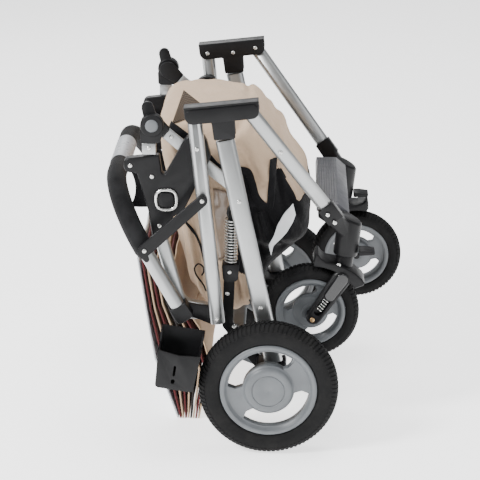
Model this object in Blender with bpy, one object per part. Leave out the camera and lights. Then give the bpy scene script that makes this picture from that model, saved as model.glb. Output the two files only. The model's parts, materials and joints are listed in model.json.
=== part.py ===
"""Folding pet stroller, standing folded on its rear wheels and its folded canopy.

Metres, +Z up, +X to the front wheels, -Y the stroller's right side.
Every joint is at its folded position.
"""
import math

import bmesh
import bpy
from mathutils import Matrix, Vector

# ---- driving dimensions ----
GAP = 0.0003                      # left between pieces that touch
REAR_R, FRONT_R = 0.1275, 0.0905  # wheel radii
REAR_RIM_R, FRONT_RIM_R = 0.0885, 0.0650
REAR_HUB_R, FRONT_HUB_R = 0.0437, 0.0300
REAR_WHEEL_Y = (0.2625, 0.3075)   # inner and outer face, from the middle
AXLE_R, SPINDLE_R = 0.0080, 0.0060

# Layers from the middle outwards, so that the links pass each other as they fold.
CLOTH_Y = 0.175
STRIP_Y = (0.1870, 0.1940)
LINK_Y = (0.1960, 0.2160)
ELBOW_Y = (0.2196, 0.2266)
TUBE_Y = (0.2280, 0.2460)
TEE_Y = (0.2220, 0.2530)
LATCH_Y = (0.2565, 0.2625)
TUBE_MID = (TUBE_Y[0] + TUBE_Y[1]) / 2
TUBE_THICK = TUBE_Y[1] - TUBE_Y[0]

TEE_CENTRE, TEE_TILT = (-0.0850, 0.6320), math.radians(6.2)
TEE_HALF, TEE_HALF_HIGH = 0.0655, 0.0152
HANDLE_PIVOT = (-0.1340, 0.6235)  # upper joint of the handle tubes
LEG_PIVOT = (-0.0385, 0.6345)     # upper joint of the front legs
ELBOW_PIVOT = (-0.0950, 0.2400)   # lower joint, where the push bar turns
STRIP_PIVOT = (-0.0550, 0.4680)
LINK_TOP = (-0.2110, 0.5980)
JOINT_HUB = (-0.1870, 0.4610)
JOINT_TOP = 0.5440                # where the side joint ends and the neck starts
LATCH_PIVOT = (-0.1200, 0.4740)
LATCH_END = (-0.2240, 0.3790)
BAR_FOOT = (-0.1680, 0.2660)      # where the push bar's tube leaves its elbow
BAR_CROSS = (-0.2845, 0.4800)     # middle line of the grip
GRIP_BEND = 0.1200                # from each arm into the grip
REAR_LEG_FOOT = (0.0085, 0.1560)
FRONT_LEG_FOOT = (0.0980, 0.2030, 0.4490)

CASTER_LEAN = math.radians(7.0)
CASTER_FOOT = (0.1375, 0.3450)    # caster axis at the bottom of its housing
CASTER_Y, TRAIL, FORK_DROP = 0.1700, 0.0482, 0.1183
HOUSING_R, HOUSING_TALL = 0.0225, 0.0715
HOUSING_SLOPE = 0.38              # its top falls this much per metre towards the front
FRONT_TREAD_HALF = 0.0180
FORK_ARM_Y = (0.0195, 0.0330)     # from the caster's plane
LOCK_RISE = 0.0085                # swivel lock's hinge above the housing's foot

SIDES = (("right", -1), ("left", 1))

for old in list(bpy.data.objects):
    bpy.data.objects.remove(old, do_unlink=True)


# ---- materials ----
def material(name, colour, roughness, metallic=0.0):
    made = bpy.data.materials.new(name)
    made.use_nodes = True
    shader = made.node_tree.nodes["Principled BSDF"]
    shader.inputs["Base Color"].default_value = (*colour, 1.0)
    shader.inputs["Roughness"].default_value = roughness
    shader.inputs["Metallic"].default_value = metallic
    made.diffuse_color = (*colour, 1.0)
    return made


SILVER = material("satin_aluminium", (0.60, 0.62, 0.63), 0.38, 0.85)
BLACK = material("black_plastic", (0.022, 0.022, 0.024), 0.45)
GREY = material("grey_plastic", (0.19, 0.20, 0.21), 0.50)
PALE = material("footrest_plastic", (0.30, 0.30, 0.33), 0.45)
TYRE = material("tyre_rubber", (0.018, 0.018, 0.018), 0.85)
STEEL = material("bright_steel", (0.70, 0.70, 0.70), 0.25, 1.0)
FOAM = material("grip_foam", (0.020, 0.020, 0.021), 0.90)
BEIGE = material("beige_cloth", (0.68, 0.55, 0.42), 0.90)
DARK_CLOTH = material("black_cloth", (0.020, 0.020, 0.022), 0.90)
STRIPED = material("striped_cloth", (0.42, 0.26, 0.20), 0.90)


# ---- outlines in the X, Z plane ----
def rounded(corners, steps=3):
    """Corners as (x, z, radius); returns the outline with each corner turned into an arc."""
    outline = []
    for i, (x, z, radius) in enumerate(corners):
        corner = Vector((x, z))
        to_last = (Vector(corners[i - 1][:2]) - corner).normalized()
        to_next = (Vector(corners[(i + 1) % len(corners)][:2]) - corner).normalized()
        if radius <= 0:
            outline.append(tuple(corner))
            continue
        half = to_last.angle(to_next) / 2
        centre = corner + (to_last + to_next).normalized() * radius / math.sin(half)
        first = corner + to_last * radius / math.tan(half) - centre
        last = corner + to_next * radius / math.tan(half) - centre
        start = math.atan2(first.y, first.x)
        turn = math.atan2(first.x * last.y - first.y * last.x, first.dot(last))
        for k in range(steps + 1):
            angle = start + turn * k / steps
            outline.append((centre.x + radius * math.cos(angle), centre.y + radius * math.sin(angle)))
    return outline


def arc(centre, radius, start, end, steps):
    """Points from the start to the end angle, in degrees from +X towards +Z."""
    angles = [math.radians(start + (end - start) * k / steps) for k in range(steps + 1)]
    return [(centre[0] + radius * math.cos(a), centre[1] + radius * math.sin(a)) for a in angles]


def pill(first, last, first_r, last_r=None, steps=6):
    last_r = first_r if last_r is None else last_r
    along = math.degrees(math.atan2(last[1] - first[1], last[0] - first[0]))
    return arc(first, first_r, along + 90, along + 270, steps) + arc(last, last_r, along - 90, along + 90, steps)


def squircle(centre, radius, steps=20, power=0.72):
    outline = []
    for k in range(steps):
        c, s = math.cos(2 * math.pi * k / steps), math.sin(2 * math.pi * k / steps)
        outline.append((centre[0] + radius * math.copysign(abs(c) ** power, c),
                        centre[1] + radius * math.copysign(abs(s) ** power, s)))
    return outline


def lean_point(base, along, across, lean):
    """A point measured along and across an axis that leans from +Z towards +X."""
    return (base[0] + along * math.sin(lean) + across * math.cos(lean),
            base[1] + along * math.cos(lean) - across * math.sin(lean))


# ---- solids ----
def slab(outline, y0, y1, bevel=0.0, bevel_steps=1):
    """A plate with an X, Z outline between two Y values."""
    low, high = min(y0, y1), max(y0, y1)
    bm = bmesh.new()
    back = [bm.verts.new((x, low, z)) for x, z in outline]
    front = [bm.verts.new((x, high, z)) for x, z in outline]
    count = len(outline)
    caps = [bm.faces.new(back), bm.faces.new(front)]
    for i in range(count):
        bm.faces.new((back[i], back[(i + 1) % count], front[(i + 1) % count], front[i]))
    bmesh.ops.recalc_face_normals(bm, faces=bm.faces)
    if bevel:
        rims = list({edge for cap in caps for edge in cap.edges})
        bmesh.ops.bevel(bm, geom=rims, offset=bevel, segments=bevel_steps, profile=0.6, affect="EDGES",
                        clamp_overlap=True)
    return bm


def loft(rings, closed=False):
    """Skin equal rings of points; the ends are capped unless the last ring meets the first."""
    bm = bmesh.new()
    made = [[bm.verts.new(point) for point in ring] for ring in rings]
    count = len(rings[0])
    pairs = list(zip(made, made[1:])) + ([(made[-1], made[0])] if closed else [])
    for one, two in pairs:
        for i in range(count):
            bm.faces.new((one[i], one[(i + 1) % count], two[(i + 1) % count], two[i]))
    if not closed:
        bm.faces.new(made[0])
        bm.faces.new(made[-1])
    bmesh.ops.recalc_face_normals(bm, faces=bm.faces)
    return bm


def flat_tube(start, end, width, thick, steps=6):
    """A flat-oval bar between two points, its flat sides facing +Y and -Y."""
    start, end = Vector(start), Vector(end)
    along = (end - start).normalized()
    wide = along.cross(Vector((0, 1, 0))).normalized()
    deep = wide.cross(along)
    reach = (width - thick) / 2
    section = []
    for side in (1, -1):
        for k in range(steps + 1):
            angle = math.pi * (k / steps - 0.5)
            section.append((side * (reach + thick / 2 * math.cos(angle)), side * thick / 2 * math.sin(angle)))
    return loft([[point + wide * a + deep * b for a, b in section] for point in (start, end)])


def turned(profile, centre, steps, side=1):
    """A profile of (radius, y) turned about the Y axis through centre."""
    rings = []
    for k in range(steps):
        angle = 2 * math.pi * k / steps
        rings.append([(centre[0] + r * math.cos(angle), side * y, centre[1] + r * math.sin(angle))
                      for r, y in profile])
    return loft(rings, closed=True)


def rod(start, end, radius, steps=16):
    start, end = Vector(start), Vector(end)
    along = (end - start).normalized()
    wide = along.orthogonal().normalized()
    deep = along.cross(wide)
    angles = [2 * math.pi * k / steps for k in range(steps)]
    return loft([[point + wide * radius * math.cos(a) + deep * radius * math.sin(a) for a in angles]
                 for point in (start, end)])


def swept(path, radius, steps, bore=0.0):
    """A round tube along a path; with a bore it is open at both ends."""
    path = [Vector(point) for point in path]
    wide = None
    outer, inner = [], []
    for i, point in enumerate(path):
        along = (path[min(i + 1, len(path) - 1)] - path[max(i - 1, 0)]).normalized()
        wide = along.orthogonal() if wide is None else wide - along * wide.dot(along)
        wide.normalize()
        deep = along.cross(wide)
        turns = [2 * math.pi * k / steps for k in range(steps)]
        outer.append([point + (wide * math.cos(a) + deep * math.sin(a)) * radius for a in turns])
        inner.append([point + (wide * math.cos(a) + deep * math.sin(a)) * bore for a in turns])
    if bore:
        return loft(outer + inner[::-1], closed=True)
    return loft(outer)


def coil(base, top, radius, wire, turns, per_turn=7, sides=4):
    base, top = Vector(base), Vector(top)
    along = (top - base).normalized()
    wide = along.orthogonal().normalized()
    deep = along.cross(wide)
    path = []
    for k in range(turns * per_turn + 1):
        angle = 2 * math.pi * k / per_turn
        middle = base.lerp(top, k / (turns * per_turn))
        path.append(middle + (wide * math.cos(angle) + deep * math.sin(angle)) * radius)
    return swept(path, wire, sides)


# ---- objects ----
def place(name, bm, finish, pivot=None, smooth=35):
    """Make the object, with its origin on its pivot."""
    origin = Vector((pivot[0], 0, pivot[1])) if pivot else Vector((0, 0, 0))
    bmesh.ops.translate(bm, verts=bm.verts, vec=-origin)
    mesh = bpy.data.meshes.new(name)
    bm.to_mesh(mesh)
    bm.free()
    mesh.materials.append(finish)
    mesh.shade_smooth()
    mesh.set_sharp_from_angle(angle=math.radians(smooth))
    made = bpy.data.objects.new(name, mesh)
    made.location = origin
    bpy.context.scene.collection.objects.link(made)
    return made


def combine(first, second, operation):
    """Boolean of two meshes, worked out at once so that no cutter stays in the file."""
    held = []
    for bm in (first, second):
        mesh = bpy.data.meshes.new("shape")
        bm.to_mesh(mesh)
        bm.free()
        held.append(bpy.data.objects.new("shape", mesh))
        bpy.context.scene.collection.objects.link(held[-1])
    change = held[0].modifiers.new("change", "BOOLEAN")
    change.object, change.operation, change.solver = held[1], operation, "EXACT"
    bpy.context.view_layer.update()
    result = held[0].evaluated_get(bpy.context.evaluated_depsgraph_get())
    bm = bmesh.new()
    bm.from_mesh(result.data)
    for shape in held:
        bpy.data.objects.remove(shape, do_unlink=True)
    bmesh.ops.remove_doubles(bm, verts=bm.verts, dist=0.000005)
    return bm


def union(*solids):
    whole = solids[0]
    for solid in solids[1:]:
        whole = combine(whole, solid, "UNION")
    return whole


def cut(solid, *cutters):
    for cutter in cutters:
        solid = combine(solid, cutter, "DIFFERENCE")
    return solid


def span(y_range, side):
    return side * y_range[0], side * y_range[1]


# ---- rear frame ----
def tee_connectors():
    """Two plates and a top web hold both tube ends; the stem holds the rear leg."""
    tilt = -TEE_TILT

    def at(across, up):
        return lean_point(TEE_CENTRE, up, across, tilt)

    stem_half, stem_foot = 0.0200, -0.0480
    plate = rounded([(*at(-TEE_HALF, TEE_HALF_HIGH), 0.004), (*at(TEE_HALF, TEE_HALF_HIGH), 0.008),
                     (*at(TEE_HALF, -TEE_HALF_HIGH), 0.014), (*at(stem_half, -TEE_HALF_HIGH), 0.003),
                     (*at(stem_half - 0.001, stem_foot), 0.003), (*at(0.001 - stem_half, stem_foot), 0.003),
                     (*at(-stem_half, -TEE_HALF_HIGH), 0.003), (*at(-TEE_HALF, -TEE_HALF_HIGH), 0.015)])
    web_low = 0.0125
    web = rounded([(*at(-TEE_HALF, TEE_HALF_HIGH), 0.0), (*at(TEE_HALF - 0.002, TEE_HALF_HIGH), 0.0),
                   (*at(TEE_HALF - 0.004, web_low), 0.0), (*at(-TEE_HALF, web_low), 0.0)])
    stem = rounded([(*at(-0.016, web_low + 0.001), 0.0), (*at(0.016, web_low + 0.001), 0.0),
                    (*at(0.0185, stem_foot + 0.001), 0.0), (*at(-0.0185, stem_foot + 0.001), 0.0)])
    outer_wall, inner_wall = TUBE_Y[1] + GAP, TEE_Y[0] + 0.003
    for name, side in SIDES:
        solid = union(slab(plate, *span((outer_wall, TEE_Y[1]), side), bevel=0.0025),
                      slab(web, *span((TEE_Y[0] + 0.001, TEE_Y[1] - 0.003), side)),
                      slab(stem, *span((TEE_Y[0] + 0.001, TEE_Y[1] - 0.003), side)),
                      slab(plate, *span((TEE_Y[0], inner_wall), side)))
        place(f"tee_connector_{name}", solid, BLACK)


def rear_legs():
    top = lean_point(TEE_CENTRE, -0.0480 - GAP, 0.0, -TEE_TILT)
    foot = REAR_LEG_FOOT
    for name, side in SIDES:
        leg = flat_tube((top[0] - 0.0004, side * TUBE_MID, top[1] - 0.003),
                        (foot[0], side * TUBE_MID, foot[1]), 0.034, TUBE_THICK)
        place(f"rear_leg_{name}", leg, SILVER)


def axle_brackets():
    outline = rounded([(-0.024, 0.1520, 0.006), (0.034, 0.1530, 0.006), (0.022, 0.1060, 0.012),
                       (-0.022, 0.1060, 0.012)])
    for name, side in SIDES:
        bore = rod((0, side * 0.19, REAR_R), (0, side * 0.26, REAR_R), AXLE_R + GAP, 24)
        bracket = cut(slab(outline, *span((LINK_Y[0], TUBE_Y[1] + 0.004), side), bevel=0.002), bore)
        place(f"axle_bracket_{name}", bracket, BLACK)


def rear_axle():
    shoulder, tip = REAR_WHEEL_Y[0] - 0.0035, 0.2990
    profile = [(0.0005, -tip), (SPINDLE_R, -tip), (SPINDLE_R, -shoulder), (AXLE_R, -shoulder),
               (AXLE_R, shoulder), (SPINDLE_R, shoulder), (SPINDLE_R, tip), (0.0005, tip)]
    rings = []
    for radius, y in profile:
        rings.append([(radius * math.cos(2 * math.pi * k / 24), y, REAR_R + radius * math.sin(2 * math.pi * k / 24))
                      for k in range(24)])
    place("rear_axle", loft(rings), STEEL)


def struts():
    """Spring strut beside each rear leg: eye at the strip's pivot, rod, block and lower bar."""
    mid = (LINK_Y[0] + LINK_Y[1]) / 2
    low, high = (-0.0720, 0.3390), (-0.0705, 0.4250)
    for name, side in SIDES:
        eye = slab(pill((-0.0700, 0.4340), STRIP_PIVOT, 0.0090, 0.0110), *span((LINK_Y[0], LINK_Y[1] - 0.006), side))
        core = rod((low[0], side * mid, low[1] - 0.02), (-0.0700, side * mid, 0.4380), 0.0060, 12)
        block = slab(rounded([(-0.0875, 0.3370, 0.003), (-0.0560, 0.3370, 0.003), (-0.0580, 0.3040, 0.008),
                              (-0.0850, 0.3040, 0.008)]), *span((STRIP_Y[0], LINK_Y[1]), side))
        bar = slab(rounded([(-0.0840, 0.3200, 0.0), (-0.0640, 0.3200, 0.0), (-0.0680, 0.2150, 0.010),
                            (-0.0120, 0.1420, 0.006), (-0.0200, 0.1180, 0.006), (-0.0880, 0.2080, 0.010)]),
                   *span((STRIP_Y[0], LINK_Y[0] - GAP), side))
        place(f"strut_rod_{name}", union(core, eye, block, bar), BLACK)
        spring = coil((low[0], side * mid, low[1]), (high[0], side * mid, high[1] - 0.002), 0.0105, 0.0012, 14)
        place(f"strut_spring_{name}", spring, STEEL)


def brake_bar():
    """Foot bar on two levers that turn on the rear axle."""
    bar_at, lever_y = (-0.0560, 0.1450), (0.1700, 0.1780)
    solid = rod((bar_at[0], -0.1700, bar_at[1]), (bar_at[0], 0.1700, bar_at[1]), 0.0070, 16)
    pedal = rounded([(-0.0800, 0.1500, 0.004), (-0.0500, 0.1530, 0.004), (-0.0500, 0.1420, 0.003),
                     (-0.0800, 0.1420, 0.003)])
    solid = union(solid, slab(pedal, -0.045, 0.045, bevel=0.0015))
    for _, side in SIDES:
        lever = slab(pill((0, REAR_R), bar_at, 0.0150, 0.0100), *span(lever_y, side))
        bore = rod((0, side * 0.165, REAR_R), (0, side * 0.183, REAR_R), AXLE_R + GAP, 24)
        solid = union(solid, cut(lever, bore))
    place("brake_bar", solid, GREY, pivot=(0, REAR_R))


# ---- wheels ----
def window(centre, inner, outer, start, end, y_range):
    outline = arc(centre, outer, start, end, 10) + arc(centre, inner, end, start, 6)
    return slab(outline, *y_range)


def wheel(label, centre, tyre_r, rim_r, hub_r, faces, side, windows, pivot, blind, steps):
    """Rim with two wide spokes, and its tyre. faces are inner and outer y, before the side's sign."""
    inner, outer = faces
    wide = outer - inner
    bore_end = outer - 0.0080 if blind else outer + 0.0020
    face = outer - 0.0080
    rim_edge, lip = rim_r, rim_r - 0.0085
    if blind:
        hub = [(SPINDLE_R + GAP, inner + 0.001), (hub_r - 0.004, inner + 0.001), (hub_r, inner + 0.005)]
        nose = [(hub_r, face + 0.004), (hub_r - 0.004, face + 0.008), (hub_r * 0.64, face + 0.0085),
                (0.0005, face + 0.0085), (0.0005, bore_end), (SPINDLE_R + GAP, bore_end)]
    else:
        hub = [(SPINDLE_R + GAP, inner + 0.001), (hub_r - 0.003, inner + 0.001), (hub_r, inner + 0.004)]
        nose = [(hub_r, face + 0.003), (hub_r - 0.003, face + 0.006), (SPINDLE_R + GAP, face + 0.006)]
    web_in, web_out = inner + wide * 0.45, face
    profile = hub + [(hub_r, web_in), (lip, web_in), (lip, inner + 0.004), (rim_edge, inner + 0.004),
                     (rim_edge, outer - 0.004), (lip, outer - 0.003), (lip - 0.001, web_out),
                     (hub_r, web_out)] + nose
    rim = turned(profile, centre, steps, side)
    reach = span((web_in - 0.002, outer + 0.002), side)
    cutters = [window(centre, hub_r + 0.003, lip - 0.004, start, end, reach) for start, end in windows]
    place(f"{label}_rim", cut(rim, *cutters), GREY, pivot=pivot)
    bead = rim_r + GAP
    mid = (inner + outer) / 2
    half = wide / 2
    tread = tyre_r - bead
    tyre = [(bead, mid - half * 0.72), (bead + tread * 0.35, mid - half), (bead + tread * 0.72, mid - half * 0.94),
            (bead + tread * 0.95, mid - half * 0.60), (tyre_r, mid), (bead + tread * 0.95, mid + half * 0.60),
            (bead + tread * 0.72, mid + half * 0.94),
            (bead + tread * 0.35, mid + half), (bead, mid + half * 0.72)]
    place(f"{label}_tyre", turned(tyre, centre, steps, side), TYRE, pivot=pivot)


def rear_wheels():
    for name, side in SIDES:
        wheel(f"rear_wheel_{name}", (0, REAR_R), REAR_R, REAR_RIM_R, REAR_HUB_R, REAR_WHEEL_Y, side,
              [(50, 180), (228, 358)], (0, REAR_R), True, 36)


# ---- front frame ----
def front_legs():
    for name, side in SIDES:
        top = Vector((LEG_PIVOT[0], side * TUBE_MID, LEG_PIVOT[1]))
        foot = Vector((FRONT_LEG_FOOT[0], side * FRONT_LEG_FOOT[1], FRONT_LEG_FOOT[2]))
        leg = flat_tube(top, foot, 0.027, TUBE_THICK - 0.002)
        end = slab(arc(LEG_PIVOT, 0.0125, 0, 345, 23), *span((TUBE_Y[0] + 0.0012, TUBE_Y[1] - 0.0012), side))
        place(f"front_leg_{name}", union(leg, end), SILVER, pivot=LEG_PIVOT)


def hull(points):
    bm = bmesh.new()
    for point in points:
        bm.verts.new(point)
    made = bmesh.ops.convex_hull(bm, input=bm.verts)
    loose = [item for item in made["geom_interior"] + made["geom_unused"] if isinstance(item, bmesh.types.BMVert)]
    bmesh.ops.delete(bm, geom=list(set(loose)), context="VERTS")
    bmesh.ops.recalc_face_normals(bm, faces=bm.faces)
    return bm


def front_brackets():
    """Each bracket takes the leg's foot and holds the leaning caster housing."""
    up = Vector((math.sin(CASTER_LEAN), 0, math.cos(CASTER_LEAN)))
    flat = Vector((math.cos(CASTER_LEAN), 0, -math.sin(CASTER_LEAN)))
    for name, side in SIDES:
        foot = Vector((FRONT_LEG_FOOT[0], side * FRONT_LEG_FOOT[1], FRONT_LEG_FOOT[2]))
        hip = Vector((LEG_PIVOT[0], side * TUBE_MID, LEG_PIVOT[1]))
        along = (foot - hip).normalized()
        wide = along.cross(Vector((0, 1, 0))).normalized()
        deep = wide.cross(along)
        block = [foot + along * down + wide * a + deep * b
                 for down, half in ((GAP, 0.0150), (0.0340, 0.0155)) for a in (-half, half)
                 for b in (-0.0105, 0.0105)]
        neck = [foot + along * down + wide * a + deep * b
                for down in (0.0200, 0.0330) for a in (-0.0135, 0.0135) for b in (-0.0090, 0.0090)]
        low = Vector((CASTER_FOOT[0], side * CASTER_Y, CASTER_FOOT[1]))
        neck += [low + up * rise + flat * a + Vector((0, side * b, 0))
                 for rise in (0.0300, HOUSING_TALL - 0.0140) for a in (-0.006, 0.006) for b in (-0.010, 0.014)]
        rings = []
        turns = [2 * math.pi * k / 24 for k in range(24)]
        for rise, radius, slope in ((0.0, HOUSING_R - 0.001, 0.0), (0.0015, HOUSING_R, 0.0),
                                    (HOUSING_TALL - 0.0030, HOUSING_R, HOUSING_SLOPE),
                                    (HOUSING_TALL, HOUSING_R - 0.0030, HOUSING_SLOPE)):
            rings.append([low + up * (rise - slope * radius * math.cos(t))
                          + (flat * math.cos(t) + Vector((0, 1, 0)) * math.sin(t)) * radius for t in turns])
        place(f"front_bracket_{name}", union(loft(rings), hull(neck), hull(block)), BLACK, pivot=LEG_PIVOT)


def footrest():
    """Ribbed step plate between the two caster housings; its front edge slopes down."""
    back, crease, front = (0.0860, 0.4330), (0.1250, 0.4330), (0.1450, 0.4160)
    thick, reach, rib_reach = 0.0060, CASTER_Y - HOUSING_R - GAP, 0.1360
    outline = [back, crease, front, (front[0] - 0.0040, front[1] - 0.0050), (crease[0] - 0.0030, crease[1] - thick),
               (back[0] + 0.0040, back[1] - thick), (back[0] + 0.0020, back[1] - 0.0140),
               (back[0] - 0.0020, back[1] - 0.0140)]
    plate = slab(rounded([(x, z, 0.0012) for x, z in outline], 2), -reach, reach)
    rib_wide, rib_pitch, rib_high = 0.0022, 0.0046, 0.0016
    ribs = [slab([(x, back[1] - 0.001), (x + rib_wide, back[1] - 0.001), (x + rib_wide, back[1] + rib_high),
                  (x, back[1] + rib_high)], -rib_reach, rib_reach)
            for x in (back[0] + 0.0020 + rib_pitch * k for k in range(8))]
    place("footrest", union(plate, *ribs), PALE, pivot=LEG_PIVOT)


def swivel_locks():
    """Foot lever that holds the caster straight, hinged low on its housing."""
    for name, side in SIDES:
        start = lean_point(CASTER_FOOT, LOCK_RISE, HOUSING_R + 0.0012, CASTER_LEAN)
        end = (start[0] + 0.0290, start[1] - 0.0010)
        outline = rounded([(start[0], start[1] - 0.0045, 0.002), (end[0], end[1] - 0.0020, 0.0015),
                           (end[0] + 0.001, end[1] + 0.0030, 0.001), (start[0] + 0.012, start[1] + 0.0048, 0.004),
                           (start[0], start[1] + 0.0042, 0.002)], 3)
        lever = slab(outline, side * (CASTER_Y - 0.0160), side * (CASTER_Y + 0.0160), bevel=0.001)
        place(f"swivel_lock_{name}", lever, BLACK, pivot=start)


# ---- casters ----
def turn_half(bm, side):
    """The right caster trails to the back; the left one stands turned half way round."""
    if side > 0:
        axis = Vector((math.sin(CASTER_LEAN), 0, math.cos(CASTER_LEAN)))
        foot = Vector((CASTER_FOOT[0], -CASTER_Y, CASTER_FOOT[1]))
        half = Matrix.Translation(foot) @ Matrix.Rotation(math.pi, 4, axis) @ Matrix.Translation(-foot)
        bm.transform(Matrix.Translation((0, 2 * CASTER_Y, 0)) @ half)
    return bm


def casters():
    """Each is built trailing on the right side, then the left one is turned and moved across."""
    hub = lean_point(CASTER_FOOT, -FORK_DROP, -TRAIL, CASTER_LEAN)
    turned_hub = lean_point(CASTER_FOOT, -FORK_DROP, TRAIL, CASTER_LEAN)
    to_foot = math.degrees(math.atan2(CASTER_FOOT[1] - hub[1], CASTER_FOOT[0] - hub[0]))
    for name, side in SIDES:
        centre = hub if side < 0 else turned_hub
        arm_in, arm_out = -CASTER_Y - FORK_ARM_Y[0], -CASTER_Y - FORK_ARM_Y[1]
        inner = FRONT_R + 0.0060
        lead, trail = to_foot - 27, to_foot + 26
        shell = [lean_point(CASTER_FOOT, up, -back, CASTER_LEAN) for back, up in
                 ((0.0575, -0.0150), (0.0560, -0.0040), (0.0540, 0.0020), (0.0500, 0.0020), (0.0440, -0.0050),
                  (0.0340, -0.0105), (0.0155, -0.0115), (-0.0040, -0.0175), (-0.0220, -0.0255), (-0.0360, -0.0350),
                  (-0.0415, -0.0420), (-0.0400, -0.0470))]
        crown = slab(shell + arc(hub, inner, lead, trail, 10), arm_out + 0.001, -CASTER_Y + FORK_ARM_Y[0], bevel=0.002)
        crest = lean_point(CASTER_FOOT, -0.0400, -0.0015, CASTER_LEAN)
        arm_foot = (hub[0] + 0.0060, hub[1] - 0.0040)
        arm = slab(pill(arm_foot, crest, 0.0140, 0.0175), arm_in, arm_out, bevel=0.003)
        stem_foot = lean_point(CASTER_FOOT, -0.0260, 0, CASTER_LEAN)
        stem_top = lean_point(CASTER_FOOT, -GAP, 0, CASTER_LEAN)
        stem = rod((stem_foot[0], -CASTER_Y, stem_foot[1]), (stem_top[0], -CASTER_Y, stem_top[1]), 0.0165, 24)
        spindle = rod((hub[0], arm_in - 0.002, hub[1]), (hub[0], -CASTER_Y + FRONT_TREAD_HALF + 0.003, hub[1]),
                      SPINDLE_R)
        fork = union(crown, arm, stem, spindle)
        radial = (Vector(crest) - Vector(arm_foot)).normalized()
        low, high = Vector(arm_foot) + radial * 0.0150, Vector(arm_foot) + radial * 0.0480
        pocket = slab(pill(tuple(low), tuple(high), 0.0085), arm_out + 0.0115, arm_out - 0.002)
        fork = cut(fork, pocket)
        place(f"fork_{name}", turn_half(fork, side), BLACK, pivot=CASTER_FOOT)
        spring_y = arm_out + 0.0045
        spring = coil((low.x, spring_y, low.y), (high.x, spring_y, high.y), 0.0056, 0.0010, 6)
        place(f"fork_spring_{name}", turn_half(spring, side), STEEL, pivot=CASTER_FOOT)
        faces = (CASTER_Y - FRONT_TREAD_HALF, CASTER_Y + FRONT_TREAD_HALF)
        windows = [(75, 180), (255, 355)] if side < 0 else [(40, 165), (225, 345)]
        wheel(f"front_wheel_{name}", centre, FRONT_R, FRONT_RIM_R, FRONT_HUB_R, faces, side, windows, centre, False, 28)


# ---- handle frame ----
def handle_tubes():
    along = (Vector(ELBOW_PIVOT) - Vector(HANDLE_PIVOT)).normalized()
    foot = Vector(ELBOW_PIVOT) + along * 0.008
    for name, side in SIDES:
        tube = flat_tube((HANDLE_PIVOT[0], side * TUBE_MID, HANDLE_PIVOT[1]),
                         (foot.x, side * TUBE_MID, foot.y), 0.0265, TUBE_THICK)
        head = slab(arc(HANDLE_PIVOT, 0.0132, 0, 345, 23), *span((TUBE_Y[0] + 0.0002, TUBE_Y[1] - 0.0002), side))
        place(f"handle_tube_{name}", union(tube, head), SILVER, pivot=HANDLE_PIVOT)


def transport_latch():
    """Strap lock on the right handle tube that reaches over the push bar."""
    bar = slab(pill(LATCH_PIVOT, LATCH_END, 0.0100, 0.0115), -LATCH_Y[0], -LATCH_Y[1], bevel=0.001)
    boss = slab(arc(LATCH_PIVOT, 0.0085, 0, 345, 23), -(TUBE_Y[1] + GAP), -(LATCH_Y[0] + 0.001))
    tip = Vector(LATCH_END) + (Vector(LATCH_END) - Vector(LATCH_PIVOT)).normalized() * 0.006
    hook = slab(pill(tuple(tip), (tip.x + 0.008, tip.y - 0.013), 0.0085, 0.0050), -LATCH_Y[0], -LATCH_Y[1], bevel=0.001)
    place("transport_latch", union(bar, boss, hook), BLACK, pivot=LATCH_PIVOT)


# ---- push bar ----
def bar_path(ends_at):
    """The U of the push bar; ends_at trims both arms, measured from the foot up the arm."""
    foot, cross = Vector(BAR_FOOT), Vector(BAR_CROSS)
    up = (cross - foot).normalized()
    length, steps = (cross - foot).length, 9
    stations = [(ends_at, TUBE_MID)]
    for k in range(steps + 1):
        angle = math.pi / 2 * k / steps
        stations.append((length - GRIP_BEND * (1 - math.sin(angle)), TUBE_MID - GRIP_BEND * (1 - math.cos(angle))))
    path = [Vector((foot.x + up.x * reach, -y, foot.y + up.y * reach)) for reach, y in stations]
    return path + [Vector((p.x, -p.y, p.z)) for p in reversed(path)]


def push_bar():
    grip_from = 0.1150
    place("push_bar_tube", swept(bar_path(0.0), 0.0130, 12), SILVER, pivot=ELBOW_PIVOT)
    place("foam_grip", swept(bar_path(grip_from), 0.0182, 12, bore=0.0130 + GAP), FOAM, pivot=ELBOW_PIVOT)
    cross = [(BAR_CROSS[0], y, BAR_CROSS[1]) for y in (-0.066, 0.066)]
    place("grip_band", swept(cross, 0.0194, 20, bore=0.0182 + GAP), PALE, pivot=ELBOW_PIVOT)


def elbows():
    """Moulded elbow that joins the push bar's tube to the handle tube's lower end."""
    up = (Vector(BAR_CROSS) - Vector(BAR_FOOT)).normalized()
    across = Vector((up.y, -up.x))
    top = Vector(BAR_FOOT) - up * GAP
    cap = rounded([(*(top - across * 0.0165), 0.001), (*(top + across * 0.0165), 0.001),
                   (*(top + across * 0.0185 - up * 0.030), 0.006), (*(top - across * 0.0150 - up * 0.034), 0.008)])
    tongue = rounded([(*(top + across * 0.008 - up * 0.003), 0.002), (-0.1300, 0.2620, 0.012),
                      (-0.0830, 0.2580, 0.014), (-0.0800, 0.2240, 0.014), (-0.1080, 0.2250, 0.010),
                      (*(top + across * 0.006 - up * 0.031), 0.004)])
    for name, side in SIDES:
        solid = union(slab(cap, *span((ELBOW_Y[0], TUBE_Y[1] + 0.0012), side), bevel=0.002),
                      slab(tongue, *span((ELBOW_Y[0] + 0.0004, ELBOW_Y[1]), side)))
        place(f"push_bar_elbow_{name}", solid, BLACK, pivot=ELBOW_PIVOT)


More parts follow.
